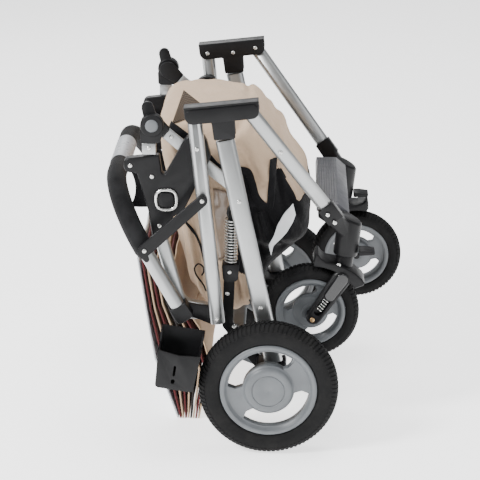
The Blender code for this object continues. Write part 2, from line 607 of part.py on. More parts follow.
def cup_holder():
    """Open tapered cup with a lowered front, hooked on the elbow."""
    tilt, tall, top_half, foot_half = math.radians(9.0), 0.0950, 0.0400, 0.0345
    top_mid, wall = (-0.1560, 0.2270), 0.0026
    back_y, front_y = -(TUBE_Y[1] + 0.0018), -0.3180

    def outline(inset, above, floor):
        def at(across, down):
            return lean_point(top_mid, -down, across, tilt)
        rows = [(*at(-top_half + inset, -above), 0.0), (*at(top_half - inset, -above), 0.0),
                (*at(foot_half - inset, tall - floor), 0.006), (*at(-foot_half + inset, tall - floor), 0.006)]
        return rounded(rows, 3)

    body = slab(outline(0.0, 0.0, 0.0), back_y, front_y)
    hollow = slab(outline(wall, 0.02, wall), back_y - wall, front_y + wall)
    corner = [lean_point(top_mid, -d, a, tilt) for d, a in ((-0.03, -0.06), (-0.03, 0.06), (0.0210, 0.06),
                                                          (0.0270, 0.0), (0.0190, -0.06))]
    front_cut = slab(corner, back_y - 0.0300, front_y - 0.010)
    slots = []
    for start, end, half in ((0.050, 0.066, 0.0022), (0.078, 0.080, 0.0035)):
        first, last = (lean_point(top_mid, -d, -0.004, tilt) for d in (start, end))
        slots.append(slab(pill(first, last, half), front_y - 0.01, front_y + 0.012))
    solid = cut(body, hollow, front_cut, *slots)
    place("cup_holder", solid, BLACK, pivot=ELBOW_PIVOT)


# ---- side links ----
def link_tubes():
    outline = rounded([(-0.2110, 0.3880 - GAP, 0.0), (-0.1860, 0.3880 - GAP, 0.0), (-0.1550, 0.2660, 0.02),
                       (-0.0950, 0.2540, 0.004), (-0.0820, 0.2400, 0.008), (-0.0950, 0.2270, 0.004),
                       (-0.1700, 0.2300, 0.02), (-0.1860, 0.2900, 0.02)], 5)
    neck = [(-0.2290, JOINT_TOP + GAP), (-0.2045, JOINT_TOP + GAP), (-0.2045, 0.5655), (-0.2290, 0.5655)]
    for name, side in SIDES:
        place(f"link_tube_{name}", slab(outline, *span(LINK_Y, side), bevel=0.003), SILVER, pivot=ELBOW_PIVOT)
        place(f"link_neck_{name}", slab(neck, *span((LINK_Y[0] + 0.002, LINK_Y[1] - 0.002), side)), SILVER,
              pivot=ELBOW_PIVOT)


def side_joints():
    """Moulded side joint: sleeve on the link tube, round hub with its release button, and arm."""
    outline = rounded([(-0.2625, JOINT_TOP - 0.0070, 0.011), (-0.2625, 0.5120, 0.011), (-0.2390, 0.5100, 0.004),
                       (-0.2200, 0.4400, 0.020), (-0.2130, 0.3880, 0.002), (-0.1850, 0.3880, 0.002),
                       (-0.1790, 0.4250, 0.020), (-0.1560, 0.4400, 0.018), (-0.1060, 0.5400, 0.018),
                       (-0.1180, 0.5900, 0.018), (-0.1500, 0.5780, 0.020), (-0.1930, 0.5000, 0.004),
                       (-0.1985, JOINT_TOP, 0.003)])
    pocket_floor = LINK_Y[1] - 0.0075
    for name, side in SIDES:
        pocket = slab(squircle(JOINT_HUB, 0.0152), *span((pocket_floor, LINK_Y[1] + 0.002), side))
        joint = cut(slab(outline, *span(LINK_Y, side), bevel=0.002), pocket)
        place(f"side_joint_{name}", joint, BLACK, pivot=ELBOW_PIVOT)
        ring = cut(slab(squircle(JOINT_HUB, 0.0218), *span((LINK_Y[1] + GAP, LINK_Y[1] + 0.0028), side)),
                   slab(squircle(JOINT_HUB, 0.0156), *span((LINK_Y[1] - 0.001, LINK_Y[1] + 0.004), side)))
        place(f"release_ring_{name}", ring, STEEL, pivot=ELBOW_PIVOT)
        button = slab(squircle(JOINT_HUB, 0.0146), *span((LINK_Y[1] - 0.0040, LINK_Y[1] + 0.0036), side), bevel=0.001)
        place(f"release_button_{name}", button, BLACK, pivot=ELBOW_PIVOT)


def link_heads():
    """Round head on top of the link tube, with the canopy's small hinge lug."""
    lug_at = (-0.2190, 0.6290)
    for name, side in SIDES:
        base = rounded([(*LINK_TOP, 0.0), (-0.2320, 0.5900, 0.0), (-0.2315, 0.5660, 0.004), (-0.1960, 0.5660, 0.006),
                        (-0.1915, 0.5900, 0.0)])
        head = union(slab(arc(LINK_TOP, 0.0208, 0, 345, 23), *span(LINK_Y, side), bevel=0.0015),
                     slab(base, *span((LINK_Y[0] + 0.0005, LINK_Y[1] - 0.0015), side)))
        lug = slab(pill(LINK_TOP, lug_at, 0.0120, 0.0105), *span((LINK_Y[0] + 0.001, LINK_Y[0] + 0.009), side))
        place(f"link_head_{name}", union(head, lug), BLACK, pivot=ELBOW_PIVOT)


def seat_strips():
    """Flat bar from the rear leg up to the link head, with its moulded end."""
    top, foot = Vector(LINK_TOP), Vector(STRIP_PIVOT)
    along = (top - foot).normalized()
    wide = Vector((along.y, -along.x))
    seam, half = top - along * 0.0300, 0.0108
    for name, side in SIDES:
        bar = [(p.x, p.y) for p in (foot + wide * half, seam + wide * half - along * GAP,
                                    seam - wide * half - along * GAP, foot - wide * half)]
        bar += [(foot.x - along.x * half * math.sin(a) - wide.x * half * math.cos(a),
                 foot.y - along.y * half * math.sin(a) - wide.y * half * math.cos(a))
                for a in (math.pi * k / 10 for k in range(1, 10))]
        place(f"seat_strip_{name}", slab(bar, *span(STRIP_Y, side), bevel=0.001), SILVER, pivot=STRIP_PIVOT)
        end = [(p.x, p.y) for p in (seam - wide * 0.0118, seam + wide * 0.0118)]
        end += [(top.x + along.x * 0.0165 * math.sin(a) + wide.x * 0.0165 * math.cos(a),
                 top.y + along.y * 0.0165 * math.sin(a) + wide.y * 0.0165 * math.cos(a))
                for a in (math.pi * k / 10 for k in range(11))]
        place(f"strip_end_{name}", slab(end, *span(STRIP_Y, side), bevel=0.001), BLACK, pivot=STRIP_PIVOT)


# ---- soft goods, as plain solids ----
def soft_goods():
    cabin = rounded([(-0.2020, 0.5900, 0.030), (-0.0240, 0.5880, 0.025), (0.0040, 0.5420, 0.03),
                     (0.0560, 0.4500, 0.020), (0.0640, 0.4150, 0.012), (-0.0150, 0.4000, 0.02),
                     (-0.0260, 0.2300, 0.020), (-0.0500, 0.2000, 0.012), (-0.1150, 0.2020, 0.015),
                     (-0.1600, 0.2700, 0.04), (-0.1950, 0.4400, 0.04)])
    place("cabin_cloth", slab(cabin, -CLOTH_Y, CLOTH_Y, bevel=0.020, bevel_steps=2), BEIGE)
    basket = rounded([(-0.0120, 0.3960, 0.006), (0.0640, 0.4100, 0.012), (0.0800, 0.3950, 0.010),
                      (0.0740, 0.3770, 0.008), (-0.0110, 0.3730, 0.006)])
    place("basket_cloth", slab(basket, -0.1430, 0.1430, bevel=0.004), DARK_CLOTH)
    canopy = rounded([(-0.2500, 0.3300, 0.008), (-0.2300, 0.3400, 0.008), (-0.1800, 0.3000, 0.01),
                      (-0.1680, 0.2560, 0.02), (-0.1220, 0.1900, 0.01), (-0.1060, 0.1200, 0.03),
                      (-0.1340, 0.0, 0.004), (-0.1760, 0.0, 0.006), (-0.2180, 0.1250, 0.06)])
    place("canopy_stack", slab(canopy, -0.1650, 0.1650, bevel=0.006), STRIPED)


def centre_on_base():
    """Move the whole stroller so that the middle of its base is at the origin."""
    bpy.context.view_layer.update()
    corners = [made.matrix_world @ Vector(corner) for made in bpy.data.objects for corner in made.bound_box]
    low = Vector([min(corner[i] for corner in corners) for i in range(3)])
    high = Vector([max(corner[i] for corner in corners) for i in range(3)])
    shift = Vector(((low.x + high.x) / 2, (low.y + high.y) / 2, low.z))
    for made in bpy.data.objects:
        made.location -= shift


tee_connectors()
rear_legs()
axle_brackets()
rear_axle()
struts()
brake_bar()
rear_wheels()
front_legs()
front_brackets()
footrest()
swivel_locks()
casters()
handle_tubes()
transport_latch()
push_bar()
elbows()
cup_holder()
link_tubes()
side_joints()
link_heads()
seat_strips()
soft_goods()
centre_on_base()
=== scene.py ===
# Folding pet stroller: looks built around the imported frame.
import math

import bmesh
import bpy
from mathutils import Matrix, Vector, noise
from mathutils.bvhtree import BVHTree
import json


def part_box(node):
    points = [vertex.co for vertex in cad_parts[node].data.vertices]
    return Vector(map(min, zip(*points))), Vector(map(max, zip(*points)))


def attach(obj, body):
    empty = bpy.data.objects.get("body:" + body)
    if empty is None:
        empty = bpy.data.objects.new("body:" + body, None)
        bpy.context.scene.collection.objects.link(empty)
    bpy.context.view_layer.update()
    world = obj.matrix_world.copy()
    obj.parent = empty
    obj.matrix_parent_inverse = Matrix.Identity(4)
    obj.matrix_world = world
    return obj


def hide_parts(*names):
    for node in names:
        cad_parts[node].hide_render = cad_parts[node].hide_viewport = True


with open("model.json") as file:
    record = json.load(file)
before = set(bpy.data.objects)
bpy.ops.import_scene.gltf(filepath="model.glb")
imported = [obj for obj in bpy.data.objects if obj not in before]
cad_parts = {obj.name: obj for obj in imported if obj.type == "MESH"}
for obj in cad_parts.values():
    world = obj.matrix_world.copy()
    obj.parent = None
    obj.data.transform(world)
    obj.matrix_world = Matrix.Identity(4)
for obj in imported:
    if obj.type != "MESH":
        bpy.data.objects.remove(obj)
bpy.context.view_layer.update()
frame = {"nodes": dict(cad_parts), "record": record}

axleLow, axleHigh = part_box("rear_axle")
# all places below are from here
home = Vector(((axleLow.x + axleHigh.x) / 2, (axleLow.y + axleHigh.y) / 2, 0.0))
sides = {"right": -1, "left": 1}
nearly = 0.0003


# Camera and studio
view = {
    "eye": (0.0437, -3.1681, 1.4490),
    "down": math.radians(19.8),
    "turn": math.radians(1.9),
    "lens": 36.0 * 1735 / 480,
}


def makeCamera():
    d, t = view["down"], view["turn"]
    ahead = Vector((-math.sin(t) * math.cos(d), math.cos(t) * math.cos(d), -math.sin(d)))
    right = Vector((math.cos(t), math.sin(t), 0.0))
    up = right.cross(ahead)
    turnTo = Matrix((right, up, -ahead)).transposed().to_4x4()
    data = bpy.data.cameras.new("camera")
    data.sensor_width, data.lens = 36.0, view["lens"]
    data.clip_end = 50.0
    eye = bpy.data.objects.new("camera", data)
    eye.matrix_world = Matrix.Translation(Vector(view["eye"]) + home) @ turnTo
    bpy.context.scene.collection.objects.link(eye)
    bpy.context.scene.camera = eye


studio = {
    "key": ((-2.1, -1.5, 2.3), 0.8, 120.0),
    "fill": ((2.4, -1.8, 1.6), 2.2, 16.0),
    "top": ((0.5, 0.2, 3.0), 1.6, 60.0),
    "rim": ((-0.8, 2.6, 2.0), 1.8, 28.0),
}


def makeStudio():
    for name, (place, size, power) in studio.items():
        data = bpy.data.lights.new(name, "AREA")
        data.shape, data.size, data.energy = "DISK", size, power
        lamp = bpy.data.objects.new(name, data)
        lamp.location = place
        aim = Vector((0.0, 0.0, 0.3)) - Vector(place)
        lamp.rotation_euler = aim.to_track_quat("-Z", "Y").to_euler()
        bpy.context.scene.collection.objects.link(lamp)
    world = bpy.data.worlds.new("studio")
    world.use_nodes = True
    world.node_tree.nodes["Background"].inputs["Color"].default_value = (0.97, 0.98, 1.0, 1.0)
    world.node_tree.nodes["Background"].inputs["Strength"].default_value = 0.42
    bpy.context.scene.world = world
    mesh = bpy.data.meshes.new("floor")
    reach = 14.0
    mesh.from_pydata([(-reach, -reach, 0), (reach, -reach, 0), (reach, reach, 0), (-reach, reach, 0)], [],
                     [(0, 1, 2, 3)])
    floor = bpy.data.objects.new("floor", mesh)
    bpy.context.scene.collection.objects.link(floor)
    paper = bpy.data.materials.new("palePaper")
    paper.use_nodes = True
    shader = paper.node_tree.nodes["Principled BSDF"]
    shader.inputs["Base Color"].default_value = (0.98, 0.98, 0.98, 1.0)
    shader.inputs["Roughness"].default_value = 0.85
    shader.inputs["Emission Color"].default_value = (1.0, 1.0, 1.0, 1.0)
    shader.inputs["Emission Strength"].default_value = 1.60
    mesh.materials.append(paper)


makeCamera()
makeStudio()
print("camera and studio are in place")


# Materials
def newFinish(name, colour, roughness, metallic=0.0, sheen=0.0, coat=0.0, ior=1.5, shine=0.5):
    made = bpy.data.materials.new(name)
    made.use_nodes = True
    shader = made.node_tree.nodes["Principled BSDF"]
    shader.inputs["Base Color"].default_value = (*colour, 1.0)
    shader.inputs["Roughness"].default_value = roughness
    shader.inputs["Metallic"].default_value = metallic
    shader.inputs["IOR"].default_value = ior
    shader.inputs["Specular IOR Level"].default_value = shine
    shader.inputs["Sheen Weight"].default_value = sheen
    shader.inputs["Sheen Roughness"].default_value = 0.5
    shader.inputs["Coat Weight"].default_value = coat
    shader.inputs["Coat Roughness"].default_value = 0.2
    made.diffuse_color = (*colour, 1.0)
    return made, made.node_tree, shader


def objectPoint(tree, stretch=(1, 1, 1)):
    where = tree.nodes.new("ShaderNodeTexCoord")
    squeeze = tree.nodes.new("ShaderNodeMapping")
    squeeze.inputs["Scale"].default_value = stretch
    tree.links.new(where.outputs["Object"], squeeze.inputs["Vector"])
    return squeeze.outputs["Vector"]


def noiseOf(tree, point, scale, detail=3.0, roughness=0.55):
    made = tree.nodes.new("ShaderNodeTexNoise")
    made.inputs["Scale"].default_value = scale
    made.inputs["Detail"].default_value = detail
    made.inputs["Roughness"].default_value = roughness
    tree.links.new(point, made.inputs["Vector"])
    return made.outputs["Fac"]


def remap(tree, value, low, high, fromLow=0.3, fromHigh=0.7):
    made = tree.nodes.new("ShaderNodeMapRange")
    made.inputs["From Min"].default_value = fromLow
    made.inputs["From Max"].default_value = fromHigh
    made.inputs["To Min"].default_value = low
    made.inputs["To Max"].default_value = high
    tree.links.new(value, made.inputs["Value"])
    return made.outputs["Result"]


def mixColour(tree, amount, first, second):
    made = tree.nodes.new("ShaderNodeMix")
    made.data_type = "RGBA"
    made.inputs["A"].default_value = (*first, 1.0)
    made.inputs["B"].default_value = (*second, 1.0)
    tree.links.new(amount, made.inputs["Factor"])
    return made.outputs["Result"]


def bumpFrom(tree, shader, height, strength, distance, below=None):
    made = tree.nodes.new("ShaderNodeBump")
    made.inputs["Strength"].default_value = strength
    made.inputs["Distance"].default_value = distance
    tree.links.new(height, made.inputs["Height"])
    if below is not None:
        tree.links.new(below, made.inputs["Normal"])
    tree.links.new(made.outputs["Normal"], shader.inputs["Normal"])
    return made.outputs["Normal"]


def mathOf(tree, kind, first, second):
    made = tree.nodes.new("ShaderNodeMath")
    made.operation = kind
    for value, socket in ((first, made.inputs[0]), (second, made.inputs[1])):
        if isinstance(value, (int, float)):
            socket.default_value = value
        else:
            tree.links.new(value, socket)
    return made.outputs["Value"]


def mouldedPlastic(name, colour, roughness, grain=900.0, depth=0.25, coat=0.0, shine=0.5):
    made, tree, shader = newFinish(name, colour, roughness, coat=coat, shine=shine)
    point = objectPoint(tree)
    cloudy = noiseOf(tree, point, 22.0, 4.0)
    lighter = tuple(min(1.0, c * 1.25 + 0.002) for c in colour)
    tree.links.new(mixColour(tree, remap(tree, cloudy, 0.0, 1.0), colour, lighter),
                   shader.inputs["Base Color"])
    rub = noiseOf(tree, point, 60.0, 5.0, 0.7)
    tree.links.new(remap(tree, rub, roughness - 0.07, roughness + 0.10), shader.inputs["Roughness"])
    bumpFrom(tree, shader, noiseOf(tree, point, grain, 2.0), depth, 0.0004)
    return made


def satinAluminium(name, colour, roughness):
    made, tree, shader = newFinish(name, colour, roughness, metallic=0.92)
    point = objectPoint(tree)
    drawn = noiseOf(tree, objectPoint(tree, (900.0, 900.0, 22.0)), 1.0, 2.0)
    cloudy = noiseOf(tree, point, 14.0, 3.0)
    duller = tuple(c * 0.86 for c in colour)
    tree.links.new(mixColour(tree, remap(tree, cloudy, 0.0, 1.0), colour, duller),
                   shader.inputs["Base Color"])
    marks = remap(tree, noiseOf(tree, point, 110.0, 6.0, 0.75), 0.0, 0.12, 0.55, 0.75)
    tree.links.new(mathOf(tree, "ADD", remap(tree, drawn, roughness - 0.05, roughness + 0.06), marks),
                   shader.inputs["Roughness"])
    bumpFrom(tree, shader, drawn, 0.10, 0.0002)
    return made


def brightMetal(name, colour, roughness):
    made, tree, shader = newFinish(name, colour, roughness, metallic=1.0)
    point = objectPoint(tree)
    spots = noiseOf(tree, point, 240.0, 4.0)
    tree.links.new(remap(tree, spots, roughness, roughness + 0.16), shader.inputs["Roughness"])
    duller = tuple(c * 0.7 for c in colour)
    tree.links.new(mixColour(tree, remap(tree, spots, 0.0, 0.6), colour, duller), shader.inputs["Base Color"])
    bumpFrom(tree, shader, noiseOf(tree, point, 700.0, 2.0), 0.08, 0.0002)
    return made


def tyreRubber(name, colour):
    made, tree, shader = newFinish(name, colour, 0.78, shine=0.18)
    point = objectPoint(tree)
    dust = noiseOf(tree, point, 34.0, 6.0, 0.7)
    tree.links.new(mixColour(tree, remap(tree, dust, 0.0, 0.55, 0.45, 0.8), colour, (0.030, 0.029, 0.028)),
                   shader.inputs["Base Color"])
    tree.links.new(remap(tree, dust, 0.62, 0.88), shader.inputs["Roughness"])
    bumpFrom(tree, shader, noiseOf(tree, point, 1300.0, 3.0), 0.35, 0.0005)
    return made


def gripFoam(name, colour):
    made, tree, shader = newFinish(name, colour, 0.92, sheen=0.05, shine=0.15)
    cells = tree.nodes.new("ShaderNodeTexVoronoi")
    cells.inputs["Scale"].default_value = 1500.0
    point = objectPoint(tree)
    tree.links.new(point, cells.inputs["Vector"])
    soft = noiseOf(tree, point, 30.0, 4.0)
    tree.links.new(mixColour(tree, remap(tree, soft, 0.0, 1.0), colour, (0.016, 0.016, 0.017)),
                   shader.inputs["Base Color"])
    bumpFrom(tree, shader, cells.outputs["Distance"], 0.5, 0.0004)
    return made


def wovenCloth(name, colour, shade, spacing=0.0011, sheen=0.12, creases=0.5, roughness=0.88, shine=0.2):
    # plain weave from crossed bands, with slubs, soft creases and shade variation
    made, tree, shader = newFinish(name, colour, roughness, sheen=sheen, shine=shine)
    point = objectPoint(tree)
    threads = []
    for axis in ("X", "Y", "Z"):
        band = tree.nodes.new("ShaderNodeTexWave")
        band.bands_direction = axis
        band.inputs["Scale"].default_value = 0.314 / spacing
        band.inputs["Distortion"].default_value = 0.6
        band.inputs["Detail Scale"].default_value = 2.0
        tree.links.new(point, band.inputs["Vector"])
        threads.append(band.outputs["Fac"])
    weave = mathOf(tree, "MAXIMUM", mathOf(tree, "MULTIPLY", threads[0], threads[2]), threads[1])
    cloudy = noiseOf(tree, point, 9.0, 5.0, 0.6)
    slub = noiseOf(tree, objectPoint(tree, (900.0, 90.0, 900.0)), 1.0, 2.0)
    blend = mathOf(tree, "ADD", mathOf(tree, "MULTIPLY", cloudy, 0.7), mathOf(tree, "MULTIPLY", slub, 0.3))
    tree.links.new(mixColour(tree, remap(tree, blend, 0.0, 1.0, 0.35, 0.65), colour, shade),
                   shader.inputs["Base Color"])
    crumple = noiseOf(tree, point, 38.0, 5.0, 0.62)
    soft = bumpFrom(tree, shader, crumple, creases, 0.006)
    bumpFrom(tree, shader, weave, 0.28, 0.0004, below=soft)
    return made


def meshCloth(name):  # dark netting: thin crossed threads, with brown painted shade of the cabin's inside between them
    made, tree, shader = newFinish(name, (0.03, 0.027, 0.024), 0.8, shine=0.1)
    uv = tree.nodes.new("ShaderNodeUVMap")
    uv.uv_map = "weave"
    cells = []
    for turn in (0.785, -0.785):
        spin = tree.nodes.new("ShaderNodeMapping")
        spin.inputs["Rotation"].default_value = (0.0, 0.0, turn)
        tree.links.new(uv.outputs["UV"], spin.inputs["Vector"])
        band = tree.nodes.new("ShaderNodeTexWave")
        band.inputs["Scale"].default_value = 0.314 / 0.0034
        tree.links.new(spin.outputs["Vector"], band.inputs["Vector"])
        cells.append(band.outputs["Fac"])
    threads = mathOf(tree, "MAXIMUM", cells[0], cells[1])
    # the brown between the threads is painted shade: the shaded inside of the cabin as seen through the holes
    tree.links.new(mixColour(tree, remap(tree, threads, 0.0, 1.0, 0.66, 0.80), (0.130, 0.095, 0.068),
                             (0.008, 0.007, 0.006)), shader.inputs["Base Color"])
    bumpFrom(tree, shader, threads, 0.5, 0.0006)
    return made


finishes = {
    "satin_aluminium": satinAluminium("satinAluminium", (0.43, 0.44, 0.44), 0.34),
    "black_plastic": mouldedPlastic("blackPlastic", (0.0040, 0.0040, 0.0046), 0.38, shine=0.22),
    "grey_plastic": mouldedPlastic("greyPlastic", (0.105, 0.113, 0.120), 0.40, grain=700.0, depth=0.15),
    "pale_plastic": mouldedPlastic("palePlastic", (0.075, 0.076, 0.084), 0.40, grain=800.0, depth=0.2),
    "tyre_rubber": tyreRubber("tyreRubber", (0.0045, 0.0045, 0.0048)),
    "bright_steel": brightMetal("brightSteel", (0.72, 0.72, 0.70), 0.20),
    "grip_foam": gripFoam("gripFoam", (0.0050, 0.0050, 0.0056)),
    "grip_band": mouldedPlastic("gripBand", (0.30, 0.31, 0.33), 0.30, grain=1600.0, depth=0.5),
    "beige_cloth": wovenCloth("beigeCloth", (0.56, 0.415, 0.292), (0.48, 0.345, 0.236), creases=0.8),
    "black_cloth": wovenCloth("blackCloth", (0.0048, 0.0048, 0.0056), (0.0085, 0.0082, 0.0092), creases=0.8,
                              sheen=0.06, shine=0.12),
    "striped_cloth": wovenCloth("greyLining", (0.44, 0.45, 0.46), (0.36, 0.365, 0.37)),
}
extras = {
    "gloss": mouldedPlastic("glossBlack", (0.006, 0.006, 0.007), 0.14, depth=0.05, coat=0.3),
    "brass": brightMetal("brassEnd", (0.62, 0.40, 0.20), 0.30),
    "maroon": wovenCloth("maroonBinding", (0.115, 0.022, 0.022), (0.075, 0.014, 0.015), spacing=0.0007),
    "tan": wovenCloth("tanBinding", (0.50, 0.36, 0.24), (0.40, 0.28, 0.18), spacing=0.0007),
    "lightGrey": wovenCloth("paleLining", (0.60, 0.62, 0.64), (0.50, 0.52, 0.54), spacing=0.0009),
    "netting": meshCloth("windowNetting"),
    "paper": mouldedPlastic("careTag", (0.62, 0.63, 0.64), 0.55, grain=500.0, depth=0.1),
    # a dark brown sheet of painted shade, standing in for the shaded inside of the cabin behind the window
    # netting
    "paintedShadeSheet": wovenCloth("paintedShadeLining", (0.060, 0.045, 0.034), (0.040, 0.030, 0.023)),
    "darkLayer": wovenCloth("darkLining", (0.030, 0.026, 0.024), (0.020, 0.018, 0.017)),
    "film": mouldedPlastic("smokedFilm", (0.20, 0.145, 0.105), 0.22, grain=120.0, depth=0.2, coat=0.4),
    "thread": mouldedPlastic("seamThread", (0.42, 0.31, 0.22), 0.7, depth=0.1),
}
for label, node in frame["nodes"].items():
    slotName = next(s["material_slot"] for s in frame["record"]["subparts"] if s["node"] == label)
    node.data.materials.clear()
    node.data.materials.append(finishes[slotName])
print("materials are made")


# Mesh helpers
def addPiece(name, bm, finish, body, slotName=None, stands=(), smooth=40.0, moved=True):
    # turn a bmesh into a finished piece that rides on a body
    if moved:
        bmesh.ops.translate(bm, verts=bm.verts, vec=home)
    mesh = bpy.data.meshes.new(name)
    bm.to_mesh(mesh)
    bm.free()
    mesh.materials.append(finish)
    mesh.shade_smooth()
    if smooth < 180:
        mesh.set_sharp_from_angle(angle=math.radians(smooth))
    made = bpy.data.objects.new(name, mesh)
    bpy.context.scene.collection.objects.link(made)
    if body:
        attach(made, body)
    if stands:
        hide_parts(*stands)
    return made


def evaluated(made):  # apply every modifier of an object and leave a plain mesh
    bpy.context.view_layer.update()
    result = made.evaluated_get(bpy.context.evaluated_depsgraph_get())
    mesh = bpy.data.meshes.new_from_object(result)
    made.modifiers.clear()
    made.data = mesh
    return made


def skin(rings, closedRing=True, closedRun=False, caps=True):
    bm = bmesh.new()
    made = [[bm.verts.new(p) for p in ring] for ring in rings]
    count = len(rings[0])
    runs = list(zip(made, made[1:])) + ([(made[-1], made[0])] if closedRun else [])
    for one, two in runs:
        for i in range(count if closedRing else count - 1):
            j = (i + 1) % count
            bm.faces.new((one[i], one[j], two[j], two[i]))
    if caps and not closedRun and closedRing:
        bm.faces.new(made[0])
        bm.faces.new(made[-1])
    bmesh.ops.recalc_face_normals(bm, faces=bm.faces)
    return bm


def turnedAbout(profile, centre, steps, side=1.0):
    # a closed profile of (radius, y) turned about the Y axis through centre
    rings = []
    for k in range(steps):
        a = 2 * math.pi * k / steps
        rings.append([Vector((centre[0] + r * math.cos(a), side * y, centre[1] + r * math.sin(a)))
                      for r, y in profile])
    return skin(rings, closedRun=True)


def plate(outline, y0, y1, bevel=0.0, segments=3):
    # a plate with an X, Z outline between two Y values, its rims rounded
    low, high = min(y0, y1), max(y0, y1)
    bm = bmesh.new()
    back = [bm.verts.new((x, low, z)) for x, z in outline]
    front = [bm.verts.new((x, high, z)) for x, z in outline]
    caps = [bm.faces.new(back), bm.faces.new(front)]
    for i in range(len(outline)):
        j = (i + 1) % len(outline)
        bm.faces.new((back[i], back[j], front[j], front[i]))
    bmesh.ops.recalc_face_normals(bm, faces=bm.faces)
    if bevel:
        rims = list({edge for cap in caps for edge in cap.edges})
        bmesh.ops.bevel(bm, geom=rims, offset=bevel, segments=segments, profile=0.5, affect="EDGES",
                        clamp_overlap=True)
    return bm


def arcOf(centre, radius, start, end, steps):
    turns = [math.radians(start + (end - start) * k / steps) for k in range(steps + 1)]
    return [(centre[0] + radius * math.cos(a), centre[1] + radius * math.sin(a)) for a in turns]


def pillOf(first, last, r1, r2=None, steps=14):
    r2 = r1 if r2 is None else r2
    along = math.degrees(math.atan2(last[1] - first[1], last[0] - first[0]))
    return arcOf(first, r1, along + 90, along + 270, steps) + arcOf(last, r2, along - 90, along + 90, steps)


def roundedOf(corners, steps=6):  # corners as (x, z, radius), each turned into an arc
    outline = []
    for i, (x, z, radius) in enumerate(corners):
        corner = Vector((x, z))
        back = (Vector(corners[i - 1][:2]) - corner).normalized()
        ahead = (Vector(corners[(i + 1) % len(corners)][:2]) - corner).normalized()
        if radius <= 0:
            outline.append(tuple(corner))
            continue
        half = back.angle(ahead) / 2
        centre = corner + (back + ahead).normalized() * radius / math.sin(half)
        first = corner + back * radius / math.tan(half) - centre
        last = corner + ahead * radius / math.tan(half) - centre
        start = math.atan2(first.y, first.x)
        turn = math.atan2(first.x * last.y - first.y * last.x, first.dot(last))
        outline += [(centre.x + radius * math.cos(start + turn * k / steps),
                     centre.y + radius * math.sin(start + turn * k / steps)) for k in range(steps + 1)]
    return outline


def sweep(path, radius, steps=16, flat=1.0, closed=False):
    # a round tube along a path; flat below 1 squashes it across its second direction
    path = [Vector(p) for p in path]
    rings, wide = [], None
    count = len(path)
    for i, point in enumerate(path):
        ahead = path[(i + 1) % count] if closed else path[min(i + 1, count - 1)]
        behind = path[i - 1] if closed else path[max(i - 1, 0)]
        along = (ahead - behind).normalized()
        wide = along.orthogonal() if wide is None else wide - along * wide.dot(along)
        wide.normalize()
        deep = along.cross(wide)
        r = radius(i / (count - 1)) if callable(radius) else radius
        rings.append([point + wide * r * math.cos(2 * math.pi * k / steps)
                      + deep * r * flat * math.sin(2 * math.pi * k / steps) for k in range(steps)])
    return skin(rings, closedRun=closed)


def smoothPath(points, perSpan=8):  # catmull-Rom curve through the points
    points = [Vector(p) for p in points]
    full = [points[0] * 2 - points[1]] + points + [points[-1] * 2 - points[-2]]
    out = []
    for i in range(1, len(full) - 2):
        a, b, c, d = full[i - 1:i + 3]
        for k in range(perSpan):
            t = k / perSpan
            out.append(0.5 * ((2 * b) + (c - a) * t + (2 * a - 5 * b + 4 * c - d) * t * t
                              + (3 * b - a - 3 * c + d) * t ** 3))
    return out + [points[-1]]


def joined(*parts):
    whole = bmesh.new()
    for part in parts:
        mesh = bpy.data.meshes.new("part")
        part.to_mesh(mesh)
        part.free()
        whole.from_mesh(mesh)
        bpy.data.meshes.remove(mesh)
    return whole


def carved(solid, *cutters):  # exact Boolean cut, worked out at once
    held = []
    for bm in (solid, joined(*cutters)):
        mesh = bpy.data.meshes.new("shape")
        bm.to_mesh(mesh)
        bm.free()
        held.append(bpy.data.objects.new("shape", mesh))
        bpy.context.scene.collection.objects.link(held[-1])
    change = held[0].modifiers.new("cut", "BOOLEAN")
    change.object, change.operation, change.solver = held[1], "DIFFERENCE", "EXACT"
    evaluated(held[0])
    bm = bmesh.new()
    bm.from_mesh(held[0].data)
    for shape in held:
        bpy.data.objects.remove(shape, do_unlink=True)
    bmesh.ops.remove_doubles(bm, verts=bm.verts, dist=0.00002)
    return bm


def softened(made, width, segments=2, angle=32.0):
    # round an object's edges with a Bevel modifier, then leave plain faces
    rim = made.modifiers.new("rim", "BEVEL")
    rim.width, rim.segments, rim.limit_method, rim.angle_limit = width, segments, "ANGLE", math.radians(angle)
    rim.harden_normals = False
    return evaluated(made)


# Geometry Nodes that repeat things
def newTree(name, sizes):
    tree = bpy.data.node_groups.new(name, "GeometryNodeTree")
    tree.interface.new_socket("Geometry", in_out="INPUT", socket_type="NodeSocketGeometry")
    for label, kind in sizes:
        tree.interface.new_socket(label, in_out="INPUT", socket_type=kind)
    tree.interface.new_socket("Geometry", in_out="OUTPUT", socket_type="NodeSocketGeometry")
    return tree, tree.nodes.new("NodeGroupInput"), tree.nodes.new("NodeGroupOutput")


def closeTree(tree, last, finishSocket, out):
    real = tree.nodes.new("GeometryNodeRealizeInstances")
    paint = tree.nodes.new("GeometryNodeSetMaterial")
    tree.links.new(last, real.inputs["Geometry"])
    tree.links.new(real.outputs["Geometry"], paint.inputs["Geometry"])
    tree.links.new(finishSocket, paint.inputs["Material"])
    tree.links.new(paint.outputs["Geometry"], out.inputs["Geometry"])


